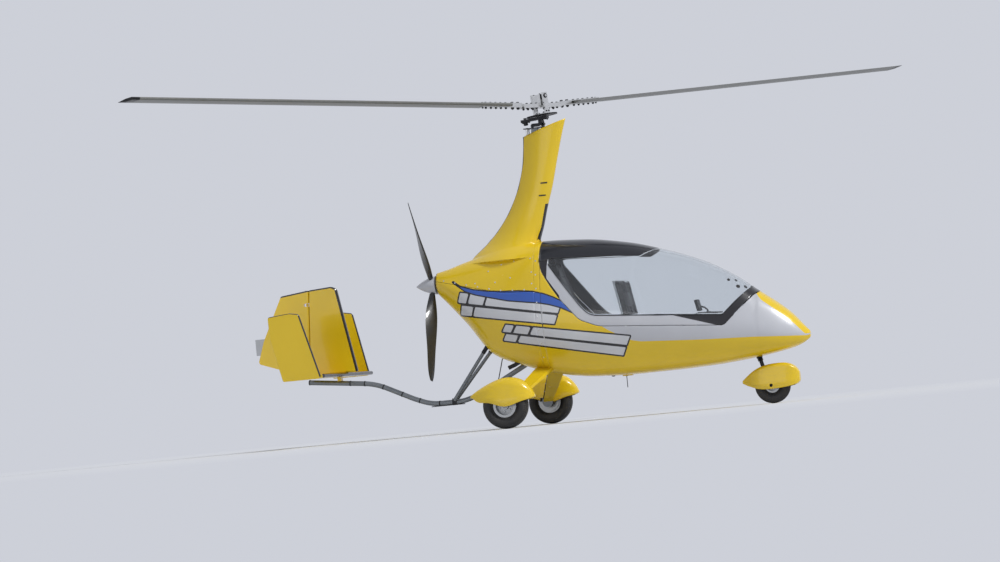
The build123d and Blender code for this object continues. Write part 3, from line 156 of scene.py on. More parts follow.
def noiseNode(tree, scale, detail=3.0, roughness=0.5, stretch=(1.0, 1.0, 1.0)):
    # Noise over the piece's own metres, stretched along the axes.
    mapped = addNode(tree, "ShaderNodeMapping", Vector=objectPlace(tree), Scale=stretch).outputs[0]
    node = addNode(tree, "ShaderNodeTexNoise", Vector=mapped, Scale=scale, Detail=detail, Roughness=roughness)
    return node.outputs["Fac"]


def surface(tree, output, colour, roughness, height, bump, distance, metal=0.0, coat=0.0):
    # The shader: colour, roughness and bump height may vary over the piece.
    shader = addNode(tree, "ShaderNodeBsdfPrincipled", Base_Color=colour, Roughness=roughness, Metallic=metal,
                     Coat_Weight=coat, Coat_Roughness=0.06)
    bumpNode = addNode(tree, "ShaderNodeBump", Strength=bump, Distance=distance, Height=height)
    tree.links.new(bumpNode.outputs[0], shader.inputs["Normal"])
    tree.links.new(shader.outputs[0], output.inputs[0])


def varied(tree, colour, scale, spread):
    # The colour darkened and lightened by slow noise.
    share = stepUp(tree, noiseNode(tree, scale, 4.0), 0.25, 0.75)
    return mixColour(tree, share, shaded(colour, 1 - spread), shaded(colour, 1 + spread))


paintTones = dict(yellow=(0.80, 0.55, 0.008), silver=(0.52, 0.53, 0.57), pearl=(0.62, 0.63, 0.66),
                  blue=(0.030, 0.105, 0.46), black=(0.008, 0.007, 0.010), roof=(0.010, 0.011, 0.016))
softEdge = 0.0006
# Layers over the base paint: which field, its tone, and how far it grows past the field's edge in metres.
liveryLayers = [("silverField", "silver", 0.0), ("bandField", "black", 0.0125), ("bandField", "pearl", 0.0),
                ("stripeField", "black", 0.011), ("stripeField", "blue", 0.0), ("blackField", "black", 0.0)]


def basePaint(tree, tone):
    # The tone with a slow change of shade, mixed towards brown in fine noise that fades in below z = 0.62 m, down to
    # 0.12 m: darker towards the bottom.
    low = stepUp(tree, objectAxis(tree, 2), 0.62, 0.12)
    grain = stepUp(tree, noiseNode(tree, 38.0, 8.0, 0.7, (0.35, 1.0, 1.0)), 0.40, 0.80)
    share = scaled(tree, mathNode(tree, "MULTIPLY", low, grain), 0.22)
    return mixColour(tree, share, varied(tree, paintTones[tone], 2.2, 0.045), (0.20, 0.16, 0.10))


def glossPaint(tree, output, colour, coat=0.35, rough=0.24):
    # The paint's surface: roughness is noise x 0.14 + rough - 0.07, with orange peel in the bump.
    smear = scaled(tree, noiseNode(tree, 14.0, 5.0), 0.14, rough - 0.07)
    surface(tree, output, colour, smear, noiseNode(tree, 320.0, 2.0), 0.05, 0.0004, coat=coat)


def paintFinish(name, tone, coat=0.35, rough=0.24):
    # Plain gloss paint.
    material, tree, output = freshMaterial(name)
    glossPaint(tree, output, basePaint(tree, tone), coat, rough)
    return material


def edgedFinish(name, lines):
    # Yellow paint with black edging: each line is a point, a direction across it and a width in the side view.
    # The direction points out over the edge; a place is black where it lies less than the width inside the line.
    material, tree, output = freshMaterial(name)
    colour = basePaint(tree, "yellow")
    x, z = objectAxis(tree, 0), objectAxis(tree, 2)
    for (px, pz), (dx, dz), width in lines:
        size = math.hypot(dx, dz)
        nx, nz = dx / size, dz / size
        offset = -(nx * (px + hubStation) + nz * pz) / 1000.0
        across = mathNode(tree, "ADD", scaled(tree, x, nx), scaled(tree, z, nz, offset))
        share = stepUp(tree, across, -softEdge - width / 1000.0, softEdge - width / 1000.0)
        colour = mixColour(tree, share, colour, paintTones["black"])
    glossPaint(tree, output, colour)
    return material


def liveryFinish(name, base):
    # Paint in layers: each attribute holds the signed distance, in metres, into its painted area.
    # A layer shows where distance + growth is above zero, over a ramp of two soft edges.
    material, tree, output = freshMaterial(name)
    colour = basePaint(tree, base)
    for attribute, tone, grow in liveryLayers:
        reading = addNode(tree, "ShaderNodeAttribute", {"attribute_name": attribute}).outputs["Fac"]
        share = stepUp(tree, reading, -softEdge - grow, softEdge - grow)
        colour = mixColour(tree, share, colour, varied(tree, paintTones[tone], 3.0, 0.05))
    glossPaint(tree, output, colour)
    return material


def metalFinish(name, colour, rough, grain=(1.0, 1.0, 1.0), metal=1.0):
    # Bare or plated metal: fine streaks stretched across the grain, small stains, uneven gloss.
    material, tree, output = freshMaterial(name)
    streak = noiseNode(tree, 90.0, 4.0, 0.6, grain)
    stain = stepUp(tree, noiseNode(tree, 11.0, 6.0, 0.7), 0.45, 0.85)
    tone = mixColour(tree, stepUp(tree, streak, 0.25, 0.75), shaded(colour, 0.86), colour)
    tone = mixColour(tree, scaled(tree, stain, 0.35), tone, shaded(colour, 0.45))
    surface(tree, output, tone, scaled(tree, streak, 0.2, rough - 0.08), streak, 0.12, 0.0003, metal)
    return material


def mouldedFinish(name, colour, rough, grainScale=420.0, bump=0.25):
    # Moulded plastic or composite: pebbled grain, with a painted highlight where the grain stands up and painted shade
    # in its hollows.
    material, tree, output = freshMaterial(name)
    pebble = noiseNode(tree, grainScale, 2.0)
    # Painted light: the grain's height sets the colour, lighter on its tops and darker in its hollows.
    tone = mixColour(tree, stepUp(tree, pebble, 0.3, 0.8), shaded(colour, 0.75), shaded(colour, 1.25))
    surface(tree, output, tone, scaled(tree, pebble, 0.15, rough), pebble, bump, 0.0005)
    return material


def rubberFinish(name):
    # Tyre rubber: dark grey, dusty in patches, faint mould grain.
    material, tree, output = freshMaterial(name)
    dust = stepUp(tree, noiseNode(tree, 22.0, 6.0, 0.7), 0.4, 0.8)
    tone = mixColour(tree, scaled(tree, dust, 0.45), (0.012, 0.012, 0.013), (0.075, 0.066, 0.055))
    surface(tree, output, tone, scaled(tree, dust, 0.25, 0.55), noiseNode(tree, 260.0, 3.0), 0.3, 0.0005)
    return material


def bladeFinish(name, colour, tip):
    # Rotor blade skin: streaked, and dark where sqrt(x^2 + y^2) from the rotor shaft passes the tip radius in metres.
    material, tree, output = freshMaterial(name)
    streak = noiseNode(tree, 60.0, 5.0, 0.6)
    stain = stepUp(tree, noiseNode(tree, 3.0, 6.0, 0.7), 0.40, 0.80)
    tone = mixColour(tree, stepUp(tree, streak, 0.25, 0.75), shaded(colour, 0.82), shaded(colour, 1.08))
    tone = mixColour(tree, scaled(tree, stain, 0.4), tone, shaded(colour, 0.6))
    ahead, y = scaled(tree, objectAxis(tree, 0), 1.0, -hubStation / 1000.0), objectAxis(tree, 1)
    squares = mathNode(tree, "MULTIPLY_ADD", ahead, ahead, mathNode(tree, "MULTIPLY", y, y))
    reach = mathNode(tree, "SQRT", squares)
    tone = mixColour(tree, stepUp(tree, reach, tip, tip + 0.001), tone, (0.012, 0.012, 0.013))
    surface(tree, output, tone, scaled(tree, streak, 0.18, 0.30), streak, 0.08, 0.0003, 0.6)
    return material


def leatherFinish(name, colour):
    # Leather: cells for the grain, creases from noise, worn lighter in patches.
    material, tree, output = freshMaterial(name)
    cells = addNode(tree, "ShaderNodeTexVoronoi", {"feature": "DISTANCE_TO_EDGE"}, Vector=objectPlace(tree), Scale=340.0)
    grain = stepUp(tree, cells.outputs["Distance"], 0.0, 0.22)
    wear = stepUp(tree, noiseNode(tree, 7.0, 5.0), 0.45, 0.8)
    tone = mixColour(tree, scaled(tree, wear, 0.5), colour, shaded(colour, 2.1))
    height = scaled(tree, noiseNode(tree, 26.0, 4.0), 1.5, grain)
    surface(tree, output, tone, scaled(tree, wear, -0.12, 0.48), height, 0.35, 0.0006)
    return material


def carbonFinish(name):
    # Painted carbon blade: near black with faint weave under a thin gloss.
    material, tree, output = freshMaterial(name)
    weave = addNode(tree, "ShaderNodeTexChecker", Vector=objectPlace(tree), Scale=420.0).outputs["Fac"]
    tone = mixColour(tree, weave, (0.010, 0.010, 0.011), (0.022, 0.022, 0.024))
    smear = scaled(tree, noiseNode(tree, 30.0, 4.0), 0.2, 0.28)
    surface(tree, output, tone, smear, weave, 0.04, 0.0002, coat=0.3)
    return material


def mixedShader(tree, output, share, a, b):
    # Shader a at share 0 and shader b at share 1, into the output.
    mixed = addNode(tree, "ShaderNodeMixShader", i0=share)
    tree.links.new(a.outputs[0], mixed.inputs[1])
    tree.links.new(b.outputs[0], mixed.inputs[2])
    tree.links.new(mixed.outputs[0], output.inputs[0])


def glassFinish(name):
    # Clear canopy: bends light at the camera and lets shadow rays through with a slight tint.
    material, tree, output = freshMaterial(name)
    haze = scaled(tree, stepUp(tree, noiseNode(tree, 40.0, 6.0, 0.7), 0.55, 0.9), 0.05, 0.012)
    clear = addNode(tree, "ShaderNodeBsdfPrincipled", Base_Color=(0.90, 0.93, 0.95), Roughness=haze,
                    Transmission_Weight=1.0, IOR=1.49)
    passing = addNode(tree, "ShaderNodeBsdfTransparent", Color=(0.86, 0.89, 0.91))
    mixedShader(tree, output, addNode(tree, "ShaderNodeLightPath").outputs["Is Shadow Ray"], clear, passing)
    return material


def webbingFinish(name, colour):
    # Belt webbing: ribs that run fore and aft times a finer weave across them; the colour follows their height, with
    # painted highlight on the raised threads and painted shade between them.
    material, tree, output = freshMaterial(name)
    ribs, weave = [addNode(tree, "ShaderNodeTexWave", {"bands_direction": way}, Vector=objectPlace(tree), Scale=scale)
                   for way, scale in (("Y", 60.0), ("DIAGONAL", 180.0))]
    both = mathNode(tree, "MULTIPLY", ribs.outputs["Fac"], weave.outputs["Fac"])
    # Painted light: lighter where ribs and weave stand up, darker between them.
    tone = mixColour(tree, both, shaded(colour, 0.6), shaded(colour, 1.7))
    surface(tree, output, tone, scaled(tree, both, 0.2, 0.6), both, 0.4, 0.0004)
    return material


def dialFinish(name):
    # Instrument face: black, with pale ticks and a pale hand over the face's own UV map, centre 0.5, 0.5 and rim 0.5 away.
    # Ticks stand where cos(20 x angle) is high; the hand where cos(angle - 2.2) is near 1.
    material, tree, output = freshMaterial(name)
    uv = addNode(tree, "ShaderNodeUVMap").outputs[0]
    centred = addNode(tree, "ShaderNodeMapping", Vector=uv, Location=(-0.5, -0.5, 0.0)).outputs[0]
    parts = addNode(tree, "ShaderNodeSeparateXYZ", Vector=centred)
    turn = mathNode(tree, "ARCTAN2", parts.outputs[1], parts.outputs[0])
    out = addNode(tree, "ShaderNodeVectorMath", {"operation": "LENGTH"}, i0=centred).outputs["Value"]
    spoke = stepUp(tree, mathNode(tree, "COSINE", scaled(tree, turn, 20.0)), 0.80, 0.90)
    ring = mathNode(tree, "MULTIPLY", stepUp(tree, out, 0.37, 0.375), stepUp(tree, out, 0.455, 0.45))
    along = stepUp(tree, mathNode(tree, "COSINE", scaled(tree, turn, 1.0, -2.2)), 0.994, 0.998)
    hand = mathNode(tree, "MULTIPLY", along, stepUp(tree, out, 0.36, 0.355))
    marks = mathNode(tree, "MAXIMUM", mathNode(tree, "MULTIPLY", spoke, ring), hand)
    tone = mixColour(tree, marks, (0.010, 0.010, 0.011), (0.75, 0.75, 0.72))
    surface(tree, output, tone, scaled(tree, noiseNode(tree, 60.0), 0.1, 0.2), marks, 0.05, 0.0002, coat=0.5)
    return material


finishes = dict(
    livery=liveryFinish("liveryPaint", "yellow"),
    canopyPaint=liveryFinish("canopyPaint", "silver"),
    yellow=paintFinish("yellowPaint", "yellow"),
    roof=paintFinish("roofPaint", "roof", 0.15, 0.22),
    glass=glassFinish("canopyClear"),
    steel=metalFinish("greySteel", (0.22, 0.235, 0.25), 0.38, (0.2, 1.0, 1.0), 0.85),
    bright=metalFinish("brightSteel", (0.78, 0.78, 0.77), 0.22),
    darkMetal=metalFinish("darkMetal", (0.030, 0.030, 0.034), 0.42, metal=0.6),
    blade=bladeFinish("bladeSkin", (0.20, 0.20, 0.185), 4.135),
    alloy=metalFinish("castAlloy", (0.42, 0.43, 0.44), 0.34),
    rubber=rubberFinish("tyreRubber"),
    spinner=paintFinish("spinnerPaint", "silver", 0.4, 0.34),
    carbon=carbonFinish("bladeCarbon"),
    cabin=mouldedFinish("cabinPlastic", (0.018, 0.018, 0.020), 0.55),
    shell=mouldedFinish("seatShell", (0.30, 0.31, 0.33), 0.40, 300.0, 0.12),
    leather=leatherFinish("blackLeather", (0.012, 0.012, 0.014)),
    trim=mouldedFinish("rubberTrim", (0.010, 0.010, 0.011), 0.6, 240.0),
    lining=mouldedFinish("cabinLining", (0.060, 0.060, 0.066), 0.7, 160.0, 0.3),
    webbing=webbingFinish("beltWebbing", (0.030, 0.030, 0.034)),
    dial=dialFinish("dialFace"),
)
print("stage 2:", len(finishes), "finishes")


def gridFaces(rows, columns, closeRows=False, closeColumns=False):
    # Four corners of every cell of a rows by columns grid, wrapping round where it is closed.
    i, j = np.meshgrid(np.arange(rows - (not closeRows)), np.arange(columns - (not closeColumns)), indexing="ij")
    nextI, nextJ = (i + 1) % rows, (j + 1) % columns
    corners = [i * columns + j, i * columns + nextJ, nextI * columns + nextJ, nextI * columns + j]
    return np.stack(corners, -1).reshape(-1, 4)


def coordinates(mesh):
    # All vertices as an array in metres.
    place = np.empty(len(mesh.vertices) * 3, np.float32)
    mesh.vertices.foreach_get("co", place)
    return place.reshape(-1, 3)


weldGap = 0.05
overOrigin = np.array([hubStation, 0, 0])


def makePiece(name, parts, body, finish, stands=(), fields=None, thickness=0.0, bevel=0.0, sharp=35.0,
              recalc=True, inside=None):
    # parts is a list of (points in millimetres, faces); faces is one array, or a list with an array for each face size.
    # They are joined, welded, moved over the origin and given their body; fields gives attributes from the points.
    offset, allPoints, allFaces = 0, [], []
    for points, faces in parts:
        allPoints.append(np.asarray(points, float).reshape(-1, 3))
        for block in faces if isinstance(faces, list) else [faces]:
            allFaces += (block + offset).tolist()
        offset += len(allPoints[-1])
    mesh = bpy.data.meshes.new(name)
    mesh.from_pydata(((np.concatenate(allPoints) + overOrigin) / 1000.0).tolist(), [], allFaces)
    work = bmesh.new()
    work.from_mesh(mesh)
    bmesh.ops.remove_doubles(work, verts=work.verts, dist=weldGap / 1000.0)
    bmesh.ops.dissolve_degenerate(work, edges=work.edges, dist=0.00001)
    if recalc:
        bmesh.ops.recalc_face_normals(work, faces=work.faces)
    work.to_mesh(mesh)
    work.free()
    mesh.shade_smooth()
    mesh.set_sharp_from_angle(angle=math.radians(sharp))
    if fields:
        for key, values in fields(coordinates(mesh) * 1000.0 - overOrigin).items():
            mesh.attributes.new(key, "FLOAT", "POINT").data.foreach_set("value", values.astype(np.float32))
    piece = addObject(name, mesh)
    mesh.materials.append(finishes[finish])
    if thickness:
        wall = piece.modifiers.new("wall", "SOLIDIFY")
        wall.thickness, wall.offset = thickness / 1000.0, -1.0
        wall.use_quality_normals = True
        if inside:
            mesh.materials.append(finishes[inside])
            wall.material_offset = 1
    if bevel:
        edge = piece.modifiers.new("edge", "BEVEL")
        edge.width, edge.segments, edge.limit_method = bevel / 1000.0, 2, "ANGLE"
        edge.angle_limit = math.radians(50)
    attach(piece, body)
    if stands:
        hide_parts(*stands)


def smoothTable(x, knots, values):
    # Monotone cubic through a table: the slope at a knot is the harmonic mean of the slopes beside it, or flat at a turn.
    step = np.diff(knots)
    slope = np.diff(values) / step
    tangent = np.zeros(len(knots))
    same = slope[:-1] * slope[1:] > 0
    w1, w2 = 2 * step[1:] + step[:-1], step[1:] + 2 * step[:-1]
    safe = np.where(same, slope[:-1] * slope[1:], 1.0)
    tangent[1:-1] = np.where(same, (w1 + w2) * safe / (w1 * slope[1:] + w2 * slope[:-1] + (~same)), 0.0)
    tangent[0], tangent[-1] = slope[0], slope[-1]
    k = np.clip(np.searchsorted(knots, x) - 1, 0, len(step) - 1)
    t = (x - knots[k]) / step[k]
    h00, h10 = (1 + 2 * t) * (1 - t) ** 2, t * (1 - t) ** 2
    h01, h11 = t * t * (3 - 2 * t), t * t * (t - 1)
    return h00 * values[k] + h10 * step[k] * tangent[k] + h01 * values[k + 1] + h11 * step[k] * tangent[k + 1]


def roundedLine(points, radii, steps=14):
    # An open line with a tangent arc at each inner corner: the arc's reach is radius x tan(half the turn). Its points are
    # ((1 - t)^2 start + 2 w t (1 - t) corner + t^2 end) / ((1 - t)^2 + 2 w t (1 - t) + t^2), w = cos(half the turn).
    points = [np.array(p, float) for p in points]
    out = [points[0][None]]
    for before, here, after, radius in zip(points[:-2], points[1:-1], points[2:], radii[1:-1]):
        a, b = here - before, after - here
        la, lb = np.hypot(*a), np.hypot(*b)
        turn = math.acos(max(-1.0, min(1.0, float(a @ b) / (la * lb))))
        if radius == 0 or turn < 1e-4:
            out.append(here[None])
            continue
        reach, w = radius * math.tan(turn / 2), math.cos(turn / 2)
        start, end = here - a / la * reach, here + b / lb * reach
        t = np.linspace(0, 1, steps)[:, None]
        first, middle, last = (1 - t) ** 2, 2 * w * t * (1 - t), t ** 2
        out.append((first * start + middle * here + last * end) / (first + middle + last))
    out.append(points[-1][None])
    return np.concatenate(out)


def finer(line, steps):
    # The line with each stretch cut into even steps.
    return np.concatenate([np.linspace(a, b, steps + 1)[:-1] for a, b in zip(line[:-1], line[1:])] + [line[-1:]])


def movedLine(line, gap):
    # The line moved sideways by gap, to the left of its direction, at every point.
    along = np.gradient(line, axis=0)
    along /= np.maximum(np.hypot(along[:, 0], along[:, 1]), 1e-9)[:, None]
    return line + np.stack([-along[:, 1], along[:, 0]], -1) * gap


hull = dict(weight=1.3, capLength=9.0, wall=6.0, seamGap=4.6, cowlGap=1.5)
hullTable = np.array([
    # station, bottom, widest height, top, half-widths at bottom, widest and top
    (-1034.0, 1168.0, 1262.0, 1356.0, 46.0, 106.0, 56.0),
    (-940.0, 1062.0, 1216.0, 1376.0, 72.0, 162.0, 80.0),
    (-800.0, 893.0, 1125.0, 1416.0, 112.0, 226.0, 110.0),
    (-590.0, 618.0, 985.0, 1468.0, 176.0, 306.0, 160.0),
    (-350.0, 508.0, 905.0, 1508.0, 212.0, 364.0, 205.0),
    (-100.0, 425.0, 840.0, 1530.0, 236.0, 402.0, 236.0),
    (250.0, 362.0, 786.0, 1512.0, 246.0, 420.0, 246.0),
    (600.0, 348.0, 757.0, 1456.0, 246.0, 420.0, 238.0),
    (950.0, 351.0, 728.0, 1354.0, 238.0, 406.0, 220.0),
    (1250.0, 360.0, 698.0, 1236.0, 222.0, 374.0, 192.0),
    (1500.0, 378.0, 664.0, 1092.0, 196.0, 326.0, 164.0),
    (1700.0, 402.0, 630.0, 936.0, 165.0, 268.0, 138.0),
    (1850.0, 426.0, 590.0, 822.0, 130.0, 212.0, 112.0),
    (1960.0, 450.0, 562.0, 722.0, 90.0, 156.0, 84.0),
    (2040.0, 482.0, 546.0, 626.0, 46.0, 98.0, 48.0),
    (2082.0, 512.0, 545.0, 578.0, 18.0, 42.0, 18.0),
])
canopyEdge = roundedLine(
    ((-84, 1565), (-84, 1300), (-10, 1168), (76, 1034), (238, 838), (392, 772), (1432, 680), (1720, 952), (1900, 1122)),
    (0, 220, 900, 700, 160, 260, 30, 0, 0))
glassEdge = roundedLine(
    ((-5, 1565), (-5, 1320), (60, 1225), (241, 968), (330, 868), (1426, 766), (1672, 1000), (1900, 1215)),
    (0, 30, 200, 600, 150, 25, 0, 0))
roofEdge = roundedLine(((-200, 1338), (30, 1372), (600, 1340), (760, 1322), (935, 1395)), (0, 100, 900, 60, 0))
cowlEdge = roundedLine(((-136, 1112), (-430, 1130), (-1100, 1300)), (0, 600, 0))


def hullColumns(x):
    # The six section sizes at each station, smooth along the body; past the last row they shrink by
    # sqrt(1 - (distance / cap length)^2), which rounds the nose.
    knots = hullTable[:, 0]
    clipped = np.clip(x, knots[0], knots[-1])
    sizes = [smoothTable(clipped, knots, hullTable[:, k]) for k in range(1, 7)]
    bottom, wide, top, halfBottom, halfWide, halfTop = sizes
    shrink = np.sqrt(1 - np.clip((x - knots[-1]) / hull["capLength"], 0.0, 1.0) ** 2)
    bottom, top = wide + (bottom - wide) * shrink, wide + (top - wide) * shrink
    return bottom, wide, top, halfBottom * shrink, halfWide * shrink, halfTop * shrink


def ringAt(x, s):
    # Point of the half outline at station x: s runs 0 at the keel to 1 at the crown over three arcs, each
    # ((1 - t)^2 a + 2 w t (1 - t) b + t^2 c) / ((1 - t)^2 + 2 w t (1 - t) + t^2), joined at the middles of the sides.
    sizes = [np.broadcast_to(v[..., None] if v.ndim < s.ndim else v, s.shape) for v in hullColumns(x)]
    bottom, wide, top, halfBottom, halfWide, halfTop = sizes
    lowY, lowZ = (halfBottom + halfWide) / 2, (bottom + wide) / 2
    highY, highZ = (halfWide + halfTop) / 2, (wide + top) / 2
    k = np.clip((s * 3).astype(int), 0, 2)
    t = s * 3 - k
    pick = lambda a, b, c: np.where(k == 0, a, np.where(k == 1, b, c))
    zero = np.zeros_like(s)
    ay, az = pick(zero, lowY, highY), pick(bottom, lowZ, highZ)
    by, bz = pick(halfBottom, halfWide, halfTop), pick(bottom, wide, top)
    cy, cz = pick(lowY, highY, zero), pick(lowZ, highZ, top)
    w = hull["weight"]
    first, middle, last = (1 - t) ** 2, 2 * w * t * (1 - t), t ** 2
    whole = first + middle + last
    return (first * ay + middle * by + last * cy) / whole, (first * az + middle * bz + last * cz) / whole


def ringShare(x, z):
    # The s at which the outline of station x reaches height z, from a fine table of the outline.
    s = np.broadcast_to(np.linspace(0, 1, 400), (len(x), 400))
    heights = ringAt(x, s)[1]
    return np.array([np.interp(zi, hi, si) for zi, hi, si in zip(z, heights, s)])


def sideSkin(x, low, high, rows):
    # Both sides of the skin over the stations x, from share low to share high of the outline; the far side mirrors y.
    v = np.linspace(0, 1, rows)[None]
    low, high = [np.broadcast_to(share, x.shape)[:, None] for share in (low, high)]
    s = low * (1 - v) + high * v
    y, z = ringAt(x, s)
    near = np.stack([np.broadcast_to(x[:, None], y.shape), y, z], -1).reshape(-1, 3)
    faces = gridFaces(len(x), rows)
    far = near * np.array([1, -1, 1])
    return [(near, faces), (far, faces[:, ::-1])]


def heightOf(line, x):
    # Height of a side-view line at each station.
    order = np.argsort(line[:, 0], kind="stable")
    return np.interp(x, line[order, 0], line[order, 1])


# Painted areas are closed outlines in the side view, from the rear forward.
paintAreas = dict(
    silverField=[(120, 985), (290, 862), (470, 735), (590, 664), (660, 630), (736, 613), (1241, 580), (1659, 562),
                 (2074, 533), (2100, 548), (2056, 548), (1987, 632), (1899, 720), (1732, 858), (1682, 923), (1640, 985),
                 (1640, 1100), (120, 1100)],
    stripeField=[(-868, 1262), (-802, 1214), (-687, 1177), (-549, 1149), (-413, 1135), (-278, 1127), (-157, 1111),
                 (-59, 1083), (25, 1046), (97, 1005), (196, 938), (277, 876), (194, 905), (94, 958), (-7, 995),
                 (-110, 1020), (-216, 1036), (-371, 1062), (-528, 1103), (-665, 1140), (-757, 1177)],
    blackField=[(1009, 806), (1432, 668), (1790, 985), (1700, 1250), (1250, 1250)],
    rearBlack=[(-96, 1620), (-96, 1290), (-30, 1150), (85, 1030), (82, 1056), (-24, 1212), (-17, 1320), (0, 1420),
               (0, 1620)],
)
# Two speed bands: each has a rear and a front end (station, top, foot), a slant, and rows of blocks shortening to the rear.
speedBands = [
    dict(rear=(-872, 1180, 990), front=(22, 1000, 826), lean=70.0,
         rows=[(0.0, 0.45, [(0.0, 0.085), (0.107, 0.26), (0.282, 1.0)]), (0.57, 1.0, [(0.045, 0.17), (0.192, 1.0)])]),
    dict(rear=(-492, 876, 742), front=(566, 680, 512), lean=84.0,
         rows=[(0.0, 0.45, [(0.0, 0.07), (0.091, 0.21), (0.231, 1.0)]), (0.58, 1.0, [(0.04, 0.14), (0.161, 1.0)])]),
]


def insideDistance(place, outline):
    # Signed distance in metres from each point to a closed outline in the side view, positive inside: to the nearest edge,
    # and inside when a line towards +x crosses the outline an odd number of times.
    p = place[:, [0, 2]][:, None]
    a = np.array(outline, float)[None]
    b = np.roll(a, -1, axis=1)
    edge = b - a
    t = np.clip(((p - a) * edge).sum(-1) / (edge ** 2).sum(-1), 0, 1)
    nearest = np.sqrt((((a + edge * t[..., None]) - p) ** 2).sum(-1)).min(1)
    crossing = (a[..., 1] > p[..., 1]) != (b[..., 1] > p[..., 1])
    rise = np.where(edge[..., 1] == 0, 1e-9, edge[..., 1])
    xAt = a[..., 0] + (p[..., 1] - a[..., 1]) * edge[..., 0] / rise
    inside = ((crossing & (xAt > p[..., 0])).sum(1) % 2) == 1
    return np.where(inside, nearest, -nearest) / 1000.0


def bandOutlines(band):
    # Each block runs between two shares of the band's length and two of its height; its ends lean forward with height.
    (x0, top0, low0), (x1, top1, low1) = band["rear"], band["front"]
    blocks = []
    for high, foot, spans in band["rows"]:
        for a, b in spans:
            share, level = np.array([a, b, b, a]), np.array([foot, foot, high, high])
            x = x0 + (x1 - x0) * share + band["lean"] * (1 - level)
            along = (x - x0) / (x1 - x0)
            top, low = top0 + (top1 - top0) * along, low0 + (low1 - low0) * along
            blocks.append(np.stack([x, top + (low - top) * level], -1))
    return blocks


def areaDistance(place, *outlines):
    # Distance into whichever outline reaches furthest over the point.
    return np.max([insideDistance(place, outline) for outline in outlines], axis=0)


def liveryFields(place):
    # The body's painted areas as signed distances at each vertex.
    return dict(silverField=areaDistance(place, paintAreas["silverField"]),
                stripeField=areaDistance(place, paintAreas["stripeField"]),
                bandField=areaDistance(place, *[block for band in speedBands for block in bandOutlines(band)]),
                blackField=np.full(len(place), -1.0))


def canopyFields(place):
    # The canopy frame is pearl, black round the windscreen's foot and behind the side window.
    none = np.full(len(place), -1.0)
    return dict(silverField=none, stripeField=none, bandField=none,
                blackField=areaDistance(place, paintAreas["blackField"], paintAreas["rearBlack"]))


def stations(*runs):
    # Even stations over runs of (start, end, spacing), ends included.
    return np.unique(np.concatenate([np.linspace(a, b, max(2, int(round((b - a) / gap)) + 1)) for a, b, gap in runs]))


half = hull["seamGap"] / 2
hoopRear, hoopFront = -136.0, -84.0
aheadRear, canopyRear = hoopFront - half, hoopFront + half
tubEdge, frameEdge = movedLine(canopyEdge, -half), movedLine(canopyEdge, half)
crownHeight = lambda x: hullColumns(np.asarray(x, float))[2]
overAll = 5000.0  # a height above everything


def crownStation(line, start, end, count=4001):
    # The first of the count stations from start to end where a side-view line reaches the crown.
    x = np.linspace(start, end, count)
    return float(x[np.argmax(heightOf(line, x) >= crownHeight(x))])


tubNose, frameNose, glassNose = [crownStation(line, 1450, 1850) for line in (tubEdge, frameEdge, glassEdge)]
roofNose = crownStation(roofEdge, 760, 935, 1000)
xTub = stations((-1034, -880, 16), (-880, hoopRear, 11), (aheadRear, 420, 11), (420, 660, 12), (660, tubNose, 26),
                (tubNose, 2060, 15), (2060, 2082, 4))
xTub = np.unique(np.append(xTub, 2082 + hull["capLength"] * np.sin(np.linspace(0, math.pi / 2, 8))))
xRear, xHoop = xTub[xTub <= hoopRear], stations((hoopRear, aheadRear, 6))
xAhead = np.append(aheadRear + 0.02, xTub[xTub > aheadRear + 0.5])
rearLimit = ringShare(xRear, heightOf(cowlEdge, xRear) - hull["cowlGap"])
aheadLimit = ringShare(xAhead, np.where(xAhead < tubNose, heightOf(tubEdge, xAhead), overAll))
makePiece("tubSkin", sideSkin(xRear, 0, rearLimit, 84) + sideSkin(xHoop, 0, 1, 150) + sideSkin(xAhead, 0, aheadLimit, 124),
          "airframe", "livery", ("fuselage_tub",), liveryFields, hull["wall"], recalc=False, inside="lining")

xFrame = stations((canopyRear, -8, 6), (-8, 0, 1), (0, 420, 6), (420, glassNose, 12), (glassNose, frameNose, 6))
frameTop = np.where(xFrame < glassNose, heightOf(glassEdge, xFrame), overAll)
frameTop = np.where(xFrame < -5, heightOf(roofEdge, xFrame), frameTop)
frameSkin = sideSkin(xFrame, ringShare(xFrame, heightOf(frameEdge, xFrame)), ringShare(xFrame, frameTop), 14)
makePiece("canopyFrameSkin", frameSkin, "canopy", "canopyPaint", ("canopy_frame",), canopyFields, 10.0,
          recalc=False, inside="lining")

xRoof = stations((canopyRear, 760, 12), (760, roofNose, 5))
makePiece("canopyRoofSkin", sideSkin(xRoof, ringShare(xRoof, heightOf(roofEdge, xRoof)), 1, 22),
          "canopy", "roof", ("canopy_roof",), thickness=10.0, recalc=False, inside="lining")

xGlass = stations((-4.9, 60, 3), (60, 420, 6), (420, 760, 12), (760, roofNose, 5), (roofNose, glassNose, 10))
glassTop = np.where(xGlass < roofNose, ringShare(xGlass, heightOf(roofEdge, xGlass)), 1.0)
makePiece("canopyGlassSkin", sideSkin(xGlass, ringShare(xGlass, heightOf(glassEdge, xGlass)), glassTop, 34),
          "canopy", "glass", ("canopy_glass",), thickness=3.5, recalc=False)
print("stage 3: hull skins")


mast = dict(join=1600.0, power=5.0, edge=4.0, wall=5.0, topRear=(-158.0, 2424.0), topFront=(192.0, 2533.0))
mastTable = np.array([
    # height, trailing edge, leading edge, half-thickness
    (1400.0, -760.0, -120.0, 220.0),
    (1470.0, -690.0, -134.0, 168.0),
    (1545.0, -592.0, -118.0, 126.0),
    (1650.0, -482.0, -79.0, 94.0),
    (1800.0, -368.0, -34.0, 76.0),
    (1990.0, -271.0, 31.0, 68.0),
    (2200.0, -209.0, 90.0, 62.0),
    (2420.0, -184.0, 155.0, 58.0),
    (2560.0, -180.0, 202.0, 56.0),
])


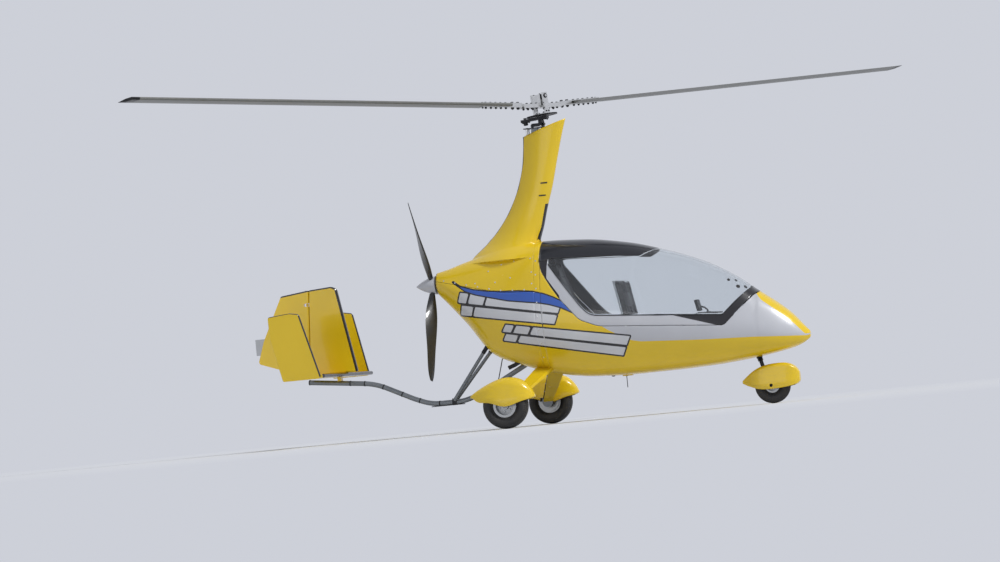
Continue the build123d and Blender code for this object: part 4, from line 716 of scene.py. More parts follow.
def mastSizes(z):
    # Trailing edge, leading edge and half-thickness at each height.
    knots = mastTable[:, 0]
    zc = np.clip(z, knots[0], knots[-1])
    return [smoothTable(zc, knots, mastTable[:, k]) for k in (1, 2, 3)]


def mastHalf(x, z):
    # Half-width of the mast fairing, with u the share of the chord from the rear: up to the thickest place at 0.62 it grows
    # from the edge by sin(u / 0.62 x 90 degrees)^0.8, and ahead of it by sqrt(1 - ((u - 0.62) / 0.38)^2).
    rear, front, thick = mastSizes(z)
    u = (x - rear) / (front - rear)
    tail = np.sin(np.clip(u / 0.62, 0, 1) * math.pi / 2) ** 0.8
    nose = np.sqrt(np.clip(1 - ((np.clip(u, 0.62, 1.0) - 0.62) / 0.38) ** 2, 0, 1))
    width = np.where(u < 0.62, mast["edge"] + (thick - mast["edge"]) * tail, thick * nose)
    return np.where((u < 0) | (u > 1) | (z < mastTable[0, 0]), 0.0, width)


def cowlHalf(x, z):
    # Half-width of cowl and mast together: (body^5 + mast^5)^(1/5), which fills the corner between them.
    s = np.linspace(0, 1, 400)
    hullY, hullZ = ringAt(np.array([x]), s[None])
    body = np.interp(z, hullZ[0], hullY[0], right=0.0)
    p = mast["power"]
    return (body ** p + mastHalf(np.full_like(z, x), z) ** p) ** (1 / p)


def cowlProfile(x, low, high, rows):
    # The cowl's outline at station x from height low to height high, at rows even steps of its length.
    z = low + (high - low) * (0.5 - 0.5 * np.cos(np.linspace(0, math.pi, 260)))
    y = cowlHalf(x, z)
    length = np.concatenate([[0], np.cumsum(np.hypot(np.diff(y), np.diff(z)))])
    even = np.linspace(0, length[-1], rows)
    return np.stack([np.full(rows, x), np.interp(even, length, y), np.interp(even, length, z)], -1)


def bothSides(grid, flip=False):
    # A grid of points on the port side and its mirror image, with their faces outwards.
    faces = gridFaces(*grid.shape[:2])
    faces = faces[:, ::-1] if flip else faces
    return [(grid, faces), (grid * np.array([1, -1, 1]), faces[:, ::-1])]


joinRear, joinFront = [float(v) for v in mastSizes(np.array(mast["join"]))[:2]]
mastStations = joinRear + (joinFront - joinRear) * (0.5 - 0.5 * np.cos(np.linspace(0, math.pi, 46)))
xCowl = np.concatenate([stations((-1034, joinRear, 12))[:-1], mastStations[mastStations < hoopRear], [hoopRear]])
ridge = np.interp(xCowl, mastTable[:, 1], mastTable[:, 0], left=0.0)
cowlTop = np.where(xCowl < joinRear, np.maximum(crownHeight(xCowl), ridge), mast["join"])
cowlLow = heightOf(cowlEdge, xCowl) + hull["cowlGap"]
cowlNear = np.array([cowlProfile(x, low, high, 72) for x, low, high in zip(xCowl, cowlLow, cowlTop)])
cowlNear[xCowl < joinRear, -1, 1] = 0.0
xFront = np.concatenate([[hoopRear], mastStations[mastStations > hoopRear]])
lead = np.interp(xFront, mastTable[:, 2][1:], mastTable[:, 0][1:])
frontLow = np.minimum(np.where(xFront > -121, lead, crownHeight(xFront) - 2.0), mast["join"] - 1.0)
frontNear = np.array([cowlProfile(x, low, mast["join"], 12) for x, low in zip(xFront, frontLow)])
# The mast's upper skin: each share of the chord runs from the join up to its own height on the sloping cut line.
share = (mastStations - joinRear) / (joinFront - joinRear)
(tx0, tz0), (tx1, tz1) = mast["topRear"], mast["topFront"]
topZ = np.full(len(share), 2480.0)
for _ in range(30):
    topRear, topFront, _ = mastSizes(topZ)
    topZ = tz0 + (topRear + (topFront - topRear) * share - tx0) * (tz1 - tz0) / (tx1 - tx0)
levelZ = mast["join"] + (topZ - mast["join"])[None] * np.linspace(0, 1, 56)[:, None]
levelRear, levelFront, _ = mastSizes(levelZ)
levelX = levelRear + (levelFront - levelRear) * share[None]
mastNear = np.stack([levelX, mastHalf(levelX, levelZ), levelZ], -1)

edgeZ, edgeX = mastTable[mastTable[:, 0] > 1460, :2].T
mastRear = np.concatenate([np.stack([edgeX - 60, edgeZ], -1), np.stack([edgeX + 9, edgeZ], -1)[::-1]])
mastFront = [(-150, 1545), (-137, 1545), (-92, 1650), (-50, 1800), (-38, 1840), (60, 1840), (60, 1545)]


def cowlFields(place):
    # The stripe runs on over the cowl's foot; the mast has black edging behind and a black strip low in front.
    return dict(liveryFields(place), blackField=areaDistance(place, mastRear, mastFront))


makePiece("cowlSkin", bothSides(cowlNear) + bothSides(frontNear) + bothSides(mastNear, True),
          "airframe", "livery", ("mast_cowl",), cowlFields, thickness=mast["wall"], recalc=False)
print("stage 4: cowl and mast")


edging = dict(
    fin=[((-1808, 598), (714, 123), 17.0), ((-1975, 1334), (-12, 195), 12.0), ((-1931, 1312), (22, 44), 13.0)],
    rudder=[((-2192, 1320), (-26, 234), 12.0)],
    outerFin=[((-1918, 562), (552, 127), 10.0), ((-2126, 1128), (-16, 189), 10.0), ((-2126, 1128), (14, 81), 10.0)],
    stabiliser=[((-1890, 582), (1, 0), 20.0)],
)
finishes.update({key: edgedFinish(key + "Paint", lines) for key, lines in edging.items()})
nodesOf = dict(
    steel="keel_boom tail_strut_left tail_strut_right mast_tube main_axle_left main_axle_right",
    yellow="main_gear_bow main_fairing_left main_fairing_right nose_fairing",
    darkMetal="engine steering_sleeve nose_fork head_base gimbal_block bearing_frame ring_gear",
    alloy="firewall rudder_pedals main_wheel_left_rim main_wheel_right_rim nose_wheel_rim rudder_trim_tab",
    cabin="cabin_floor instrument_panel control_stick throttle_lever",
    bright="head_mount_studs rotor_tower hub_bar blade_grip_forward blade_grip_aft",
    leather="front_seat_cushion front_backrest_cushion rear_seat_cushion rear_backrest_cushion",
    shell="front_seat rear_seat", rubber="main_wheel_left_tyre main_wheel_right_tyre nose_wheel_tyre",
    carbon="propeller_blade_1 propeller_blade_2 propeller_blade_3", spinner="propeller_spinner",
    blade="rotor_blade_forward rotor_blade_aft", trim="belly_antenna",
    fin="centre_fin", rudder="rudder", outerFin="outer_fin_left outer_fin_right", stabiliser="stabiliser",
)
for finishName, nodeNames in nodesOf.items():
    for nodeName in nodeNames.split():
        nodes[nodeName].data.materials.clear()
        nodes[nodeName].data.materials.append(finishes[finishName])
print("stage 5: frame finishes")


def unit(v):
    # The direction of v, or of each row of v.
    v = np.asarray(v, float)
    return v / np.linalg.norm(v, axis=-1, keepdims=True)


def tube(path, radius, sides=12, reference=(0, 0, 1)):
    # Round rod along a path: point + radius x (side cos + up sin), with side square to the path's direction and the
    # reference, and up square to both.
    path = np.asarray(path, float)
    along = unit(np.gradient(path, axis=0))
    side = unit(np.cross(along, np.asarray(reference, float)))
    turn = np.linspace(0, 2 * math.pi, sides, endpoint=False)[None, :, None]
    rings = path[:, None] + radius * (side[:, None] * np.cos(turn) + np.cross(side, along)[:, None] * np.sin(turn))
    ends = np.arange(sides) + np.array([[0], [(len(path) - 1) * sides]])
    return rings.reshape(-1, 3), [gridFaces(len(path), sides, False, True), ends]


def lathe(profile, turns, base, axis, closed=False):
    # The profile's (distance, radius) points turned round the axis: base + distance x axis + radius x (side cos + up sin);
    # open ends are capped.
    along, profile = unit(axis), np.asarray(profile, float)
    side = unit(np.cross((0, 0, 1) if abs(along[2]) < 0.9 else (1, 0, 0), along))
    turn = np.linspace(0, 2 * math.pi, turns, endpoint=False)[None, :, None]
    spokes = np.cos(turn) * side + np.sin(turn) * np.cross(along, side)
    points = np.asarray(base, float) + profile[:, :1, None] * along + profile[:, 1:, None] * spokes
    ends = np.arange(turns) + np.array([[0], [(len(profile) - 1) * turns]])
    return points.reshape(-1, 3), [gridFaces(len(profile), turns, closed, True)] + ([] if closed else [ends])


def bolt(base, axis, size, height, stud=0.0):
    # Hexagon head, size across its flats, with a chamfered top on a round washer; a stud may stand out of it.
    corner = size / math.sqrt(3)
    parts = [lathe([(1.2, corner), (0.85 * height, corner), (height, 0.84 * corner)], 6, base, axis),
             lathe([(0, 0.66 * size), (1.0, 0.66 * size), (1.3, 0.6 * size)], 24, base, axis)]
    if stud:
        end = height + stud
        parts.append(lathe([(0, 0.3 * size), (end - 1, 0.3 * size), (end, 0.24 * size)], 16, base, axis))
    return parts


def slab(low, high):
    # A box between two corners, for a piece that gets its edges rounded.
    corners = np.array(list(product(*zip(low, high))), float)
    return corners, np.array([[0, 1, 3, 2], [4, 6, 7, 5], [0, 4, 5, 1], [2, 3, 7, 6], [0, 2, 6, 4], [1, 5, 7, 3]])


def gear(teeth, rim, root, rows, base):
    # Toothed wheel about the vertical: rows are (radius, height) round its section, radius 0 standing for the toothed rim.
    turn = np.linspace(0, 2 * math.pi, 4 * teeth, endpoint=False)
    toothed = np.tile([root, root, rim, rim], teeth)
    radii = np.stack([np.full(4 * teeth, float(radius)) if radius else toothed for radius, _ in rows])
    heights = np.array([height for _, height in rows], float)[:, None] * np.ones(4 * teeth)
    points = np.stack([radii * np.cos(turn), radii * np.sin(turn), heights], -1) + np.asarray(base, float)
    return points.reshape(-1, 3), gridFaces(len(rows), 4 * teeth, True, True)


def turnY(points, degrees, pivot=(0, 0, 0)):
    # Turned about the line across the machine through the pivot: x' = x cos + z sin, z' = z cos - x sin.
    a, (x, y, z) = math.radians(degrees), np.moveaxis(np.asarray(points, float) - pivot, -1, 0)
    return np.stack([x * math.cos(a) + z * math.sin(a), y, z * math.cos(a) - x * math.sin(a)], -1) + pivot


def turnZ(points, degrees):
    # Turned about the vertical through the origin: x' = x cos - y sin, y' = x sin + y cos.
    a, (x, y, z) = math.radians(degrees), np.moveaxis(np.asarray(points, float), -1, 0)
    return np.stack([x * math.cos(a) - y * math.sin(a), x * math.sin(a) + y * math.cos(a), z], -1)


head = dict(lean=-4.6, pivot=(-16, 0, 2528), azimuth=54.6, teeter=2.46, teeterHeight=2735, cone=-2.7, barHeight=2660)


def onHead(points):
    # Level head coordinates leaned back about the pitch bolt.
    return turnY(points, head["lean"], head["pivot"])


def onMast(points):
    # Turned with the rotor, then leaned with the head.
    return onHead(turnZ(points, head["azimuth"]))


def onRotor(points):
    # Teetered, then turned and leaned.
    return onMast(turnY(points, head["teeter"], (0, 0, head["teeterHeight"])))


def onBlade(points, heading):
    # Along a blade: coned up, headed fore or aft, raised to the hub bar, then teetered, turned and leaned.
    return onRotor(turnZ(turnY(points, head["cone"]), heading) + np.array([0, 0, head["barHeight"]]))


def placed(parts, move, *extra):
    # Every part moved by the same rule.
    return [(move(points, *extra), faces) for points, faces in parts]


headPlate = dict(top=2484, studX=(-140, -20), studY=32, nut=24, rollHeight=2506, rollEnds=((-101, -1), (6, 1)),
                 pitch=(-16, 2528), cheek=44)
parts = [b for x in headPlate["studX"] for way in (-1, 1)
         for b in bolt((x, way * headPlate["studY"], headPlate["top"]), (0, 0, 1), headPlate["nut"], 9, 5)]
parts += [b for x, way in headPlate["rollEnds"] for b in bolt((x, 0, headPlate["rollHeight"]), (way, 0, 0), 21, 8, 4)]
makePiece("headPlateNuts", placed(parts, onHead), "airframe", "bright", bevel=0.6)

fit = dict(top=2569, below=2548, bolts=((-172, 12), (-172, -12), (-120, 12), (-120, -12), (32, 32), (32, -32)),
                     size=13, motorX=-150, motorRadius=19, motorDepth=28, flange=30, pinionTeeth=12, pinion=(14.5, 11))
pitchX, pitchZ = headPlate["pitch"]
parts = [b for x, y in fit["bolts"] for b in bolt((x, y, fit["below"]), (0, 0, -1), fit["size"], 7, 3)]
parts += [b for way in (-1, 1) for b in bolt((pitchX, way * headPlate["cheek"], pitchZ), (0, way, 0), 24, 9, 4)]
parts.append(lathe([(0, fit["flange"]), (4, fit["flange"]), (4, fit["motorRadius"]),
                    (fit["motorDepth"] - 4, fit["motorRadius"]), (fit["motorDepth"], fit["motorRadius"] - 4)],
                   40, (fit["motorX"], 0, fit["below"]), (0, 0, -1)))
parts.append(lathe([(0, 7), (6, 7)], 20, (fit["motorX"], 0, fit["top"]), (0, 0, 1)))
parts.append(gear(fit["pinionTeeth"], *fit["pinion"], [(4, 2574.5), (0, 2574.5), (0, 2583.5), (4, 2583.5)],
                  (fit["motorX"], 0, 0)))
parts.append(lathe([(0, 24), (4, 24), (5, 20)], 48, (12, 0, fit["below"]), (0, 0, -1)))
makePiece("bearingFrameFittings", placed(parts, onHead), "bearing_frame", "darkMetal", bevel=0.5)

ringSection = [(14, 2576.5), (104, 2576.5), (107, 2574), (0, 2574), (0, 2584), (107, 2584), (104, 2581.5), (14, 2581.5)]
ringGear = gear(96, 130, 125.5, ringSection, (0, 0, 0))
makePiece("ringGearTeeth", placed([ringGear], onHead), "rotor_mast", "darkMetal", ("ring_gear",))

tower = dict(outside=83, bolt=2735, foot=2596, nut=31)
parts = [b for way in (-1, 1) for b in bolt((0, way * tower["outside"], tower["bolt"]), (0, way, 0), tower["nut"], 8)]
parts += [b for x in (-14, 14) for y in (-44, 44) for b in bolt((x, y, tower["foot"]), (0, 0, 1), 15, 8, 3)]
parts += [b for x in (-13, 13) for way in (-1, 1) for b in bolt((x, way * tower["outside"], 2607), (0, way, 0), 11, 6)]
parts += [lathe([(0, 24), (1.5, 24), (3, 21), (3, 12)], 40, (0, way * 65, tower["bolt"]), (0, -way, 0)) for way in (-1, 1)]
makePiece("towerBolts", placed(parts, onMast), "rotor_mast", "darkMetal", bevel=0.5)

hub = dict(barBolts=(-165, -115, -62, 62, 115, 165), barY=25, faces=((1, 2677, 0), (-1, 2643, 3)), capBolts=(19, 38, 2753),
           gripBolts=((240, 23), (300, 23), (372, 17), (426, 17), (480, 17), (534, 17), (588, 17), (622, 13)),
           gripY=-4, gripFaces=((-1, 4), (1, 0)), gripHalf=19.3)
capX, capY, capZ = hub["capBolts"]
parts = [b for x in hub["barBolts"] for y in (-hub["barY"], hub["barY"]) for way, z, stud in hub["faces"]
         for b in bolt((x, y, z), (0, 0, way), 17, 9, stud)]
parts += [b for x in (-capX, capX) for y in (-capY, capY) for b in bolt((x, y, capZ), (0, 0, 1), 13, 7)]
parts = placed(parts, onRotor)
gripParts = [b for x, size in hub["gripBolts"] for way, stud in hub["gripFaces"]
             for b in bolt((x, hub["gripY"], way * hub["gripHalf"]), (0, 0, way), size, 0.5 * size, stud)]
for heading in (0, 180):
    parts += placed(gripParts, onBlade, heading)
makePiece("hubBolts", parts, "rotor", "darkMetal", bevel=0.5)
print("stage 6: rotor head fittings")


def arcThrough(a, b, c, steps):
    # The circle through three points, from a over b to c: its centre is where the two bisectors cross.
    (ax, ay), (bx, by), (cx, cy) = a, b, c
    d = 2 * (ax * (by - cy) + bx * (cy - ay) + cx * (ay - by))
    qa, qb, qc = ax * ax + ay * ay, bx * bx + by * by, cx * cx + cy * cy
    ux = (qa * (by - cy) + qb * (cy - ay) + qc * (ay - by)) / d
    uy = (qa * (cx - bx) + qb * (ax - cx) + qc * (bx - ax)) / d
    start = math.atan2(ay - uy, ax - ux)
    middle, end = [(math.atan2(y - uy, x - ux) - start) % (2 * math.pi) for x, y in (b, c)]
    end = end - 2 * math.pi if middle > end else end
    turn = start + end * np.linspace(0, 1, steps)
    return np.array([ux, uy]) + math.hypot(ax - ux, ay - uy) * np.stack([np.cos(turn), np.sin(turn)], -1)


mainWheel = dict(radius=190.0, width=145.0, rim=96.0, blocks=62, hub=29.0, bore=18.0, hubEnd=48, bolts=(50, 9.8, 13))
noseWheel = dict(radius=150.0, width=90.0, rim=62.0, blocks=54, hub=18.0, bore=12.0, hubEnd=42, bolts=(32, 6.2, 10))
wheels = [
    dict(mainWheel, name="main_wheel_left", place=(-354, 770, 190), sides=(1,)),
    dict(mainWheel, name="main_wheel_right", place=(-354, -770, 190), sides=(-1,)),
    dict(noseWheel, name="nose_wheel", place=(1733, 0, 150), sides=(1, -1)),
]
disc = dict(section=[(49, 34), (49, 84), (54, 84), (54, 34)], boltCircle=44, boltFace=54)
tread = dict(bead=0.62, foot=(0.14, 0.72), bulge=(0.52, 1.0), shoulder=(0.86, 0.78), grooves=(0.2, 0.5), grooveWidth=0.032,
             grooveDepth=4.5, notch=(0.60, 0.95), notchDepth=3.5)


def tyreSkin(wheel):
    # The section is three arcs between bead, bulge, shoulder and tread; grooves round the tyre are
    # 1 - (distance / width)^4 deep, and notches cut every block's edge across the shoulders.
    w, wall, rim = wheel["width"] / 2, wheel["radius"] - wheel["rim"], wheel["rim"]
    at = lambda shares, side: (side * shares[1] * w, rim + shares[0] * wall)
    low = arcThrough(at(tread["foot"], -1), at(tread["bulge"], -1), at(tread["shoulder"], -1), 12)
    top = arcThrough(at(tread["shoulder"], -1), (0, wheel["radius"]), at(tread["shoulder"], 1), 72)
    high = (low * np.array([-1, 1]))[::-1]
    section = np.concatenate([[(-tread["bead"] * w, rim)], low, top[1:-1], high, [(tread["bead"] * w, rim)]])
    turn = np.linspace(0, 2 * math.pi, wheel["blocks"] * 4, endpoint=False)
    y, share = section[:, :1] * np.ones(len(turn)), np.abs(section[:, 0]) / w
    cut = sum(np.clip(1 - (np.abs(share - g) / tread["grooveWidth"]) ** 4, 0, 1) for g in tread["grooves"])
    groove = cut * tread["grooveDepth"] * (section[:, 1] > rim + 0.83 * wall)
    first, last = tread["notch"]
    onShoulder = section[:, 1] > rim + 0.6 * wall
    inNotch = np.clip((share - first) / 0.04, 0, 1) * np.clip((last - share) / 0.05, 0, 1) * onShoulder
    beat = np.tile([1.0, 0.0, 0.0, 0.0], wheel["blocks"])
    r = section[:, 1:] - groove[:, None] - inNotch[:, None] * beat[None] * tread["notchDepth"]
    points = np.stack([r * np.cos(turn), y, r * np.sin(turn)], -1) + np.array(wheel["place"])
    return points.reshape(-1, 3), gridFaces(len(section), len(turn), True, True)


for wheel in wheels:
    name, (x, y, z), (reach, face, size) = wheel["name"], wheel["place"], wheel["bolts"]
    makePiece(name + "_tread", [tyreSkin(wheel)], name, "rubber", (name + "_tyre",), sharp=30.0)
    around = np.linspace(0, 2 * math.pi, 6, endpoint=False) + 0.3
    parts = [b for side in wheel["sides"] for a in around
             for b in bolt((x + reach * math.cos(a), y + side * face, z + reach * math.sin(a)), (0, side, 0), size, 9)]
    capSection = [(-2, wheel["hub"]), (2, wheel["hub"]), (3, wheel["hub"] - 1), (3, wheel["bore"]), (-2, wheel["bore"])]
    parts += [lathe(capSection, 40, (x, y + side * wheel["hubEnd"], z), (0, side, 0), closed=True)
              for side in wheel["sides"]]
    if len(wheel["sides"]) == 1:
        inner, reach = -wheel["sides"][0], disc["boltCircle"]
        parts.append(lathe(disc["section"], 96, (x, y, z), (0, inner, 0), closed=True))
        parts += [b for a in around for b in bolt((x + reach * math.cos(a), y + inner * disc["boltFace"],
                                                   z + reach * math.sin(a)), (0, inner, 0), 10, 5)]
    makePiece(name + "_fittings", parts, name, "alloy", bevel=0.4)
print("stage 7: wheels")

bowLine = np.array([(150, -134, 476, 150), (250, -157, 442, 140), (470, -258, 318, 108), (654, -350, 202, 80)], float)
brake = dict(lineRadius=3.2, gap=4.0, start=262.0, end=640.0, clips=(6, 17, 28, 38), clipRadius=5.2,
             blocks=[((-436, 697, 196), (-388, 714, 250)), ((-420, 668, 200), (-384, 697, 226))], axleNut=(-354, 822, 190))
parts, clips = [], []
for way in (-1, 1):
    y = np.linspace(brake["start"], brake["end"], 40)
    x, z, chord = [smoothTable(y, bowLine[:, 0], bowLine[:, k]) for k in (1, 2, 3)]
    path = np.stack([x - chord / 2 - brake["gap"], way * y, z], -1)
    parts.append(tube(path, brake["lineRadius"], 10, (1, 0, 0)))
    clips += [tube(path[k] + np.array([(-4, 0, 0), (0, 0, 0), (12, 0, 0)]), brake["clipRadius"]) for k in brake["clips"]]
    parts += [slab(np.multiply(low, (1, way, 1)), np.multiply(high, (1, way, 1))) for low, high in brake["blocks"]]
clips += [b for way in (-1, 1) for b in bolt(np.multiply(brake["axleNut"], (1, way, 1)), (0, way, 0), 36, 8, 3)]
makePiece("brakeLines", parts, "airframe", "trim", bevel=0.6)
makePiece("brakeClips", clips, "airframe", "alloy", bevel=0.5)

boomCorners = ((-300, 540), (-735, 318), (-905, 262), (-1195, 262), (-1345, 322), (-1665, 478), (-2240, 541))
boomPath = finer(roundedLine(boomCorners, (0, 300, 420, 420, 500, 600, 0), 10), 8)
boom = dict(radius=21.0, clamp=-985, bands=(-640, -800, -1120, -1290, -1440, -1600, -1760, -1905), strip=(-1195, -905),
            cableSide=25.5, cableEnds=(-1990, -600), cableRise=(64, 4, 222), strutFoot=(-985, 30, 276),
            strutTop=(-655, 118, 672), socket=[(-34, 15), (-34, 18), (66, 18), (66, 1)], tailCap=(-2238, 0, 541))


def boomAt(x):
    # Point and direction of the boom's middle line at station x.
    k = min(max(int(np.argmin(abs(boomPath[:, 0] - x))), 1), len(boomPath) - 2)
    way = unit(boomPath[k + 1] - boomPath[k - 1])
    return np.array([boomPath[k, 0], 0, boomPath[k, 1]]), np.array([way[0], 0, way[1]])


parts, ring = [], boom["radius"]
for x in boom["bands"]:
    middle, way = boomAt(x)
    parts.append(lathe([(-5, ring), (-5, ring + 1.6), (5, ring + 1.6), (5, ring)], 40, middle, way, closed=True))
    parts.append(lathe([(-6, 0.5), (-6, 7.5), (6, 7.5), (6, 0.5)], 16, middle + (0, boom["cableSide"], 0), way))
# The cable follows the boom; its front end rises into the hull by (1 - t)^2 times the rise.
low, high = boom["cableEnds"]
run = boomPath[(boomPath[:, 0] > low) & (boomPath[:, 0] < high)]
cable = np.stack([run[:, 0], np.full(len(run), boom["cableSide"]), run[:, 1]], -1)
lead = np.linspace(0, 1, 14)[:, None]
cable = np.concatenate([cable[0] + (1 - lead) ** 2 * np.array(boom["cableRise"]), cable[1:]])
parts.append(tube(cable, 4.2, 10, (0, 1, 0)))
makePiece("controlCable", parts, "airframe", "trim")

middle, way = boomAt(boom["clamp"])
parts = [lathe([(-18, ring), (-18, ring + 6), (18, ring + 6), (18, ring)], 48, middle, way, closed=True)]
parts += [b for y in (-1, 1) for x in (-11, 11) for b in bolt(middle + (x, y * 18, 22), (0, y * 0.5, 1), 11, 8, 2)]
parts.append(slab((boom["strip"][0], -10, 236), (boom["strip"][1], 10, 243)))
for way in (-1, 1):
    strutFoot, strutTop = [np.multiply(end, (1.0, way, 1.0)) for end in (boom["strutFoot"], boom["strutTop"])]
    strutWay = unit(strutTop - strutFoot)
    parts.append(lathe(boom["socket"], 36, strutTop, strutWay))
    parts += bolt(strutTop - strutWay * 16 + np.array([0, way * 18, 0]), (0, way, 0), 12, 7, 2)
parts.append(lathe([(0, 20), (5, 23), (10, 23), (13, 18), (14, 1)], 40, boom["tailCap"], boomAt(-2236)[1]))
makePiece("boomFittings", parts, "airframe", "darkMetal", bevel=0.8)
print("stage 8: undercarriage and boom fittings")


def skinSpot(x, z, way):
    # Point and outward direction of the painted skin: the width's slopes along x and z give the direction.
    width = lambda a, b: float(cowlHalf(a, np.array([float(b)]))[0])
    slopeX, slopeZ = (width(x + 3, z) - width(x - 3, z)) / 6, (width(x, z + 3) - width(x, z - 3)) / 6
    return np.array([x, width(x, z) * way, z]), unit((-slopeX, 1, -slopeZ)) * np.array([1, way, 1])


def skinDisc(x, z, way, radius, height):
    # A quarter-turn fastener: a low dome with a slot ring, standing on the skin.
    place, out = skinSpot(x, z, way)
    profile = [(-1.0, radius), (height * 0.6, radius), (height, radius * 0.75), (height, radius * 0.35),
               (height * 0.5, radius * 0.3)]
    return lathe(profile, 24, place, out)


cowlHeight = lambda x: float(heightOf(cowlEdge, np.array([x]))[0])
fasteners = [(-422, 1365), (-341, 1247), (-479, 1222), (-663, 1231), (-308, 1383), (-163, 1390), (-152, 1276),
             (-152, 1180), (-540, 1320)]
fasteners += [(x, cowlHeight(x) + 17) for x in range(-220, -960, -105)]
fasteners += [(-116, z) for z in range(560, 1480, 115)]
makePiece("cowlFasteners", [skinDisc(x, z, way, 6.0, 1.6) for x, z in fasteners for way in (-1, 1)],
          "airframe", "bright")

vents = dict(places=((-29, 2014), (-53, 1911)), length=64.0, height=16.0, slant=4.0, lift=1.2, sunk=2.0)


def ventPlate(x, z):
    # A slanted plate, lift above the mast's skin with its rim sunk into it: u runs forward, v up, and x leans by slant x v.
    u, v = np.meshgrid(np.linspace(0, 1, 10), np.linspace(0, 1, 6), indexing="ij")
    x = x - (vents["length"] + vents["slant"]) / 2 + vents["length"] * u + vents["slant"] * v
    z = z - vents["height"] / 2 + vents["height"] * v
    rim = (u == 0) | (u == 1) | (v == 0) | (v == 1)
    return np.stack([x, mastHalf(x, z) + np.where(rim, -vents["sunk"], vents["lift"]), z], -1)


makePiece("mastVents", [part for place in vents["places"] for part in bothSides(ventPlate(*place))],
          "airframe", "trim", recalc=False)
print("stage 9: skin fittings")


def hullHalf(x, z):
    # Half-width of the plain body at each station and height.
    return ringAt(x, ringShare(x, z)[:, None])[0][:, 0]


boot = dict(base=(1643, 0, 395), rake=15.0, start=-36.0, end=-4.0, folds=5, small=19.0, large=24.0)
steps = np.linspace(0, 1, 8 * boot["folds"] + 1)
small, large = boot["small"], boot["large"]
folds = (small + large) / 2 + (large - small) / 2 * np.cos(2 * math.pi * boot["folds"] * steps)
bootProfile = np.stack([boot["start"] + (boot["end"] - boot["start"]) * steps, folds], -1)
lean = math.radians(boot["rake"])
makePiece("steeringBoot", [lathe(bootProfile, 40, boot["base"], (-math.sin(lean), 0, math.cos(lean)))],
          "nose_fork", "trim")

belly = dict(pipe=[(-310, -118, 572), (-360, -118, 546), (-410, -118, 522), (-462, -118, 504)], pipeRadius=17,
             drain=(395, 0, 356), step=((478, -26, 342), (562, 26, 356)))
pipe, size = np.array(belly["pipe"], float), belly["pipeRadius"]
lip = [(-3, size - 4.5), (-3, size + 0.5), (5, size + 0.5), (5, size - 4.5)]
parts = [tube(pipe, size, 28, (0, 1, 0)), lathe(lip, 28, pipe[-1], pipe[-1] - pipe[-2], closed=True)]
parts.append(lathe([(0, 17), (5, 16), (9, 10), (10, 1)], 32, belly["drain"], (0, 0, -1)))
makePiece("bellyPipe", parts, "airframe", "darkMetal")
makePiece("bellyStep", [slab(*belly["step"])], "airframe", "yellow", bevel=3.0)
ventDiscs = ((1479, 1050, 13), (1554, 988, 17))
makePiece("windscreenVents", [skinDisc(x, z, way, radius, 3.0) for x, z, radius in ventDiscs for way in (-1, 1)],
          "canopy", "trim")


def sealPath(line, lift):
    # A side-view line, as far as it stays under the crown, laid on the hull's side and raised by lift.
    x, z = finer(line[line[:, 1] < crownHeight(line[:, 0]) - 1.0], 4).T
    return np.stack([x, hullHalf(x, z) + lift, z], -1)


rearRoof = float(heightOf(roofEdge, np.array([-5.0]))[0])
window = glassEdge[~((glassEdge[:, 0] < 0) & (glassEdge[:, 1] > rearRoof + 40))]
seals = [(sealPath(window, 0.5), 3.4), (sealPath(roofEdge[roofEdge[:, 0] > -80], 0.3), 2.6)]
parts = [tube(line * np.array([1, way, 1]), size, 8, (0, 1, 0)) for way in (-1, 1) for line, size in seals]
makePiece("canopyGasket", parts, "canopy", "trim")
print("stage 10: canopy fittings")


seats = [
    # name, front of the base, bend, top of the backrest
    ("front", (1030, 566), (616, 548), (508, 1134)),
    ("rear", (560, 640), (196, 618), (-66, 1330)),
]
padding = dict(fill=0.75, pressure=4.0, voxel=0.006, frames=20, cap=0.009, shrink=0.985, start=78.0, offset=10.3, base=55.0,
               back=43.0, endGap=10.0, seams=(0.30, 0.55, 0.80), seamDepth=7.0, seamWidth=7.0, seamSide=0.135)


def evaluatedCopy(piece, name):
    # The piece's mesh with its modifiers taken in.
    shown = piece.evaluated_get(bpy.context.evaluated_depsgraph_get())
    mesh = bpy.data.meshes.new_from_object(shown)
    mesh.name = name
    return mesh


def filledShape(pad, held):
    # The pad's vertices after the cloth has been blown up for the given frames, with the held ones fixed;
    # every way from rest is cut to the cap.
    spec, rest = padding, coordinates(pad.data)
    pad.vertex_groups.new(name="held").add(np.flatnonzero(held).tolist(), 1.0, "REPLACE")
    cloth = pad.modifiers.new("fill", "CLOTH")
    settings = cloth.settings
    settings.quality, settings.mass = 5, 0.3
    settings.tension_stiffness = settings.compression_stiffness = 25.0
    settings.shear_stiffness, settings.bending_stiffness = 10.0, 2.0
    settings.use_pressure, settings.uniform_pressure_force = True, spec["pressure"]
    settings.vertex_group_mass = "held"
    settings.effector_weights.gravity = 0.0
    cloth.collision_settings.use_collision = False
    cloth.point_cache.frame_start, cloth.point_cache.frame_end = 1, spec["frames"]
    for number in range(1, spec["frames"] + 1):
        scene.frame_set(number)
    filled = evaluatedCopy(pad, pad.name + "Filled")
    moved = coordinates(filled) - rest
    scene.frame_set(1)
    pad.modifiers.clear()
    bpy.data.meshes.remove(filled)
    size = np.linalg.norm(moved, axis=1)
    return rest + moved * (np.minimum(size, spec["cap"]) / np.maximum(size, 1e-9))[:, None]


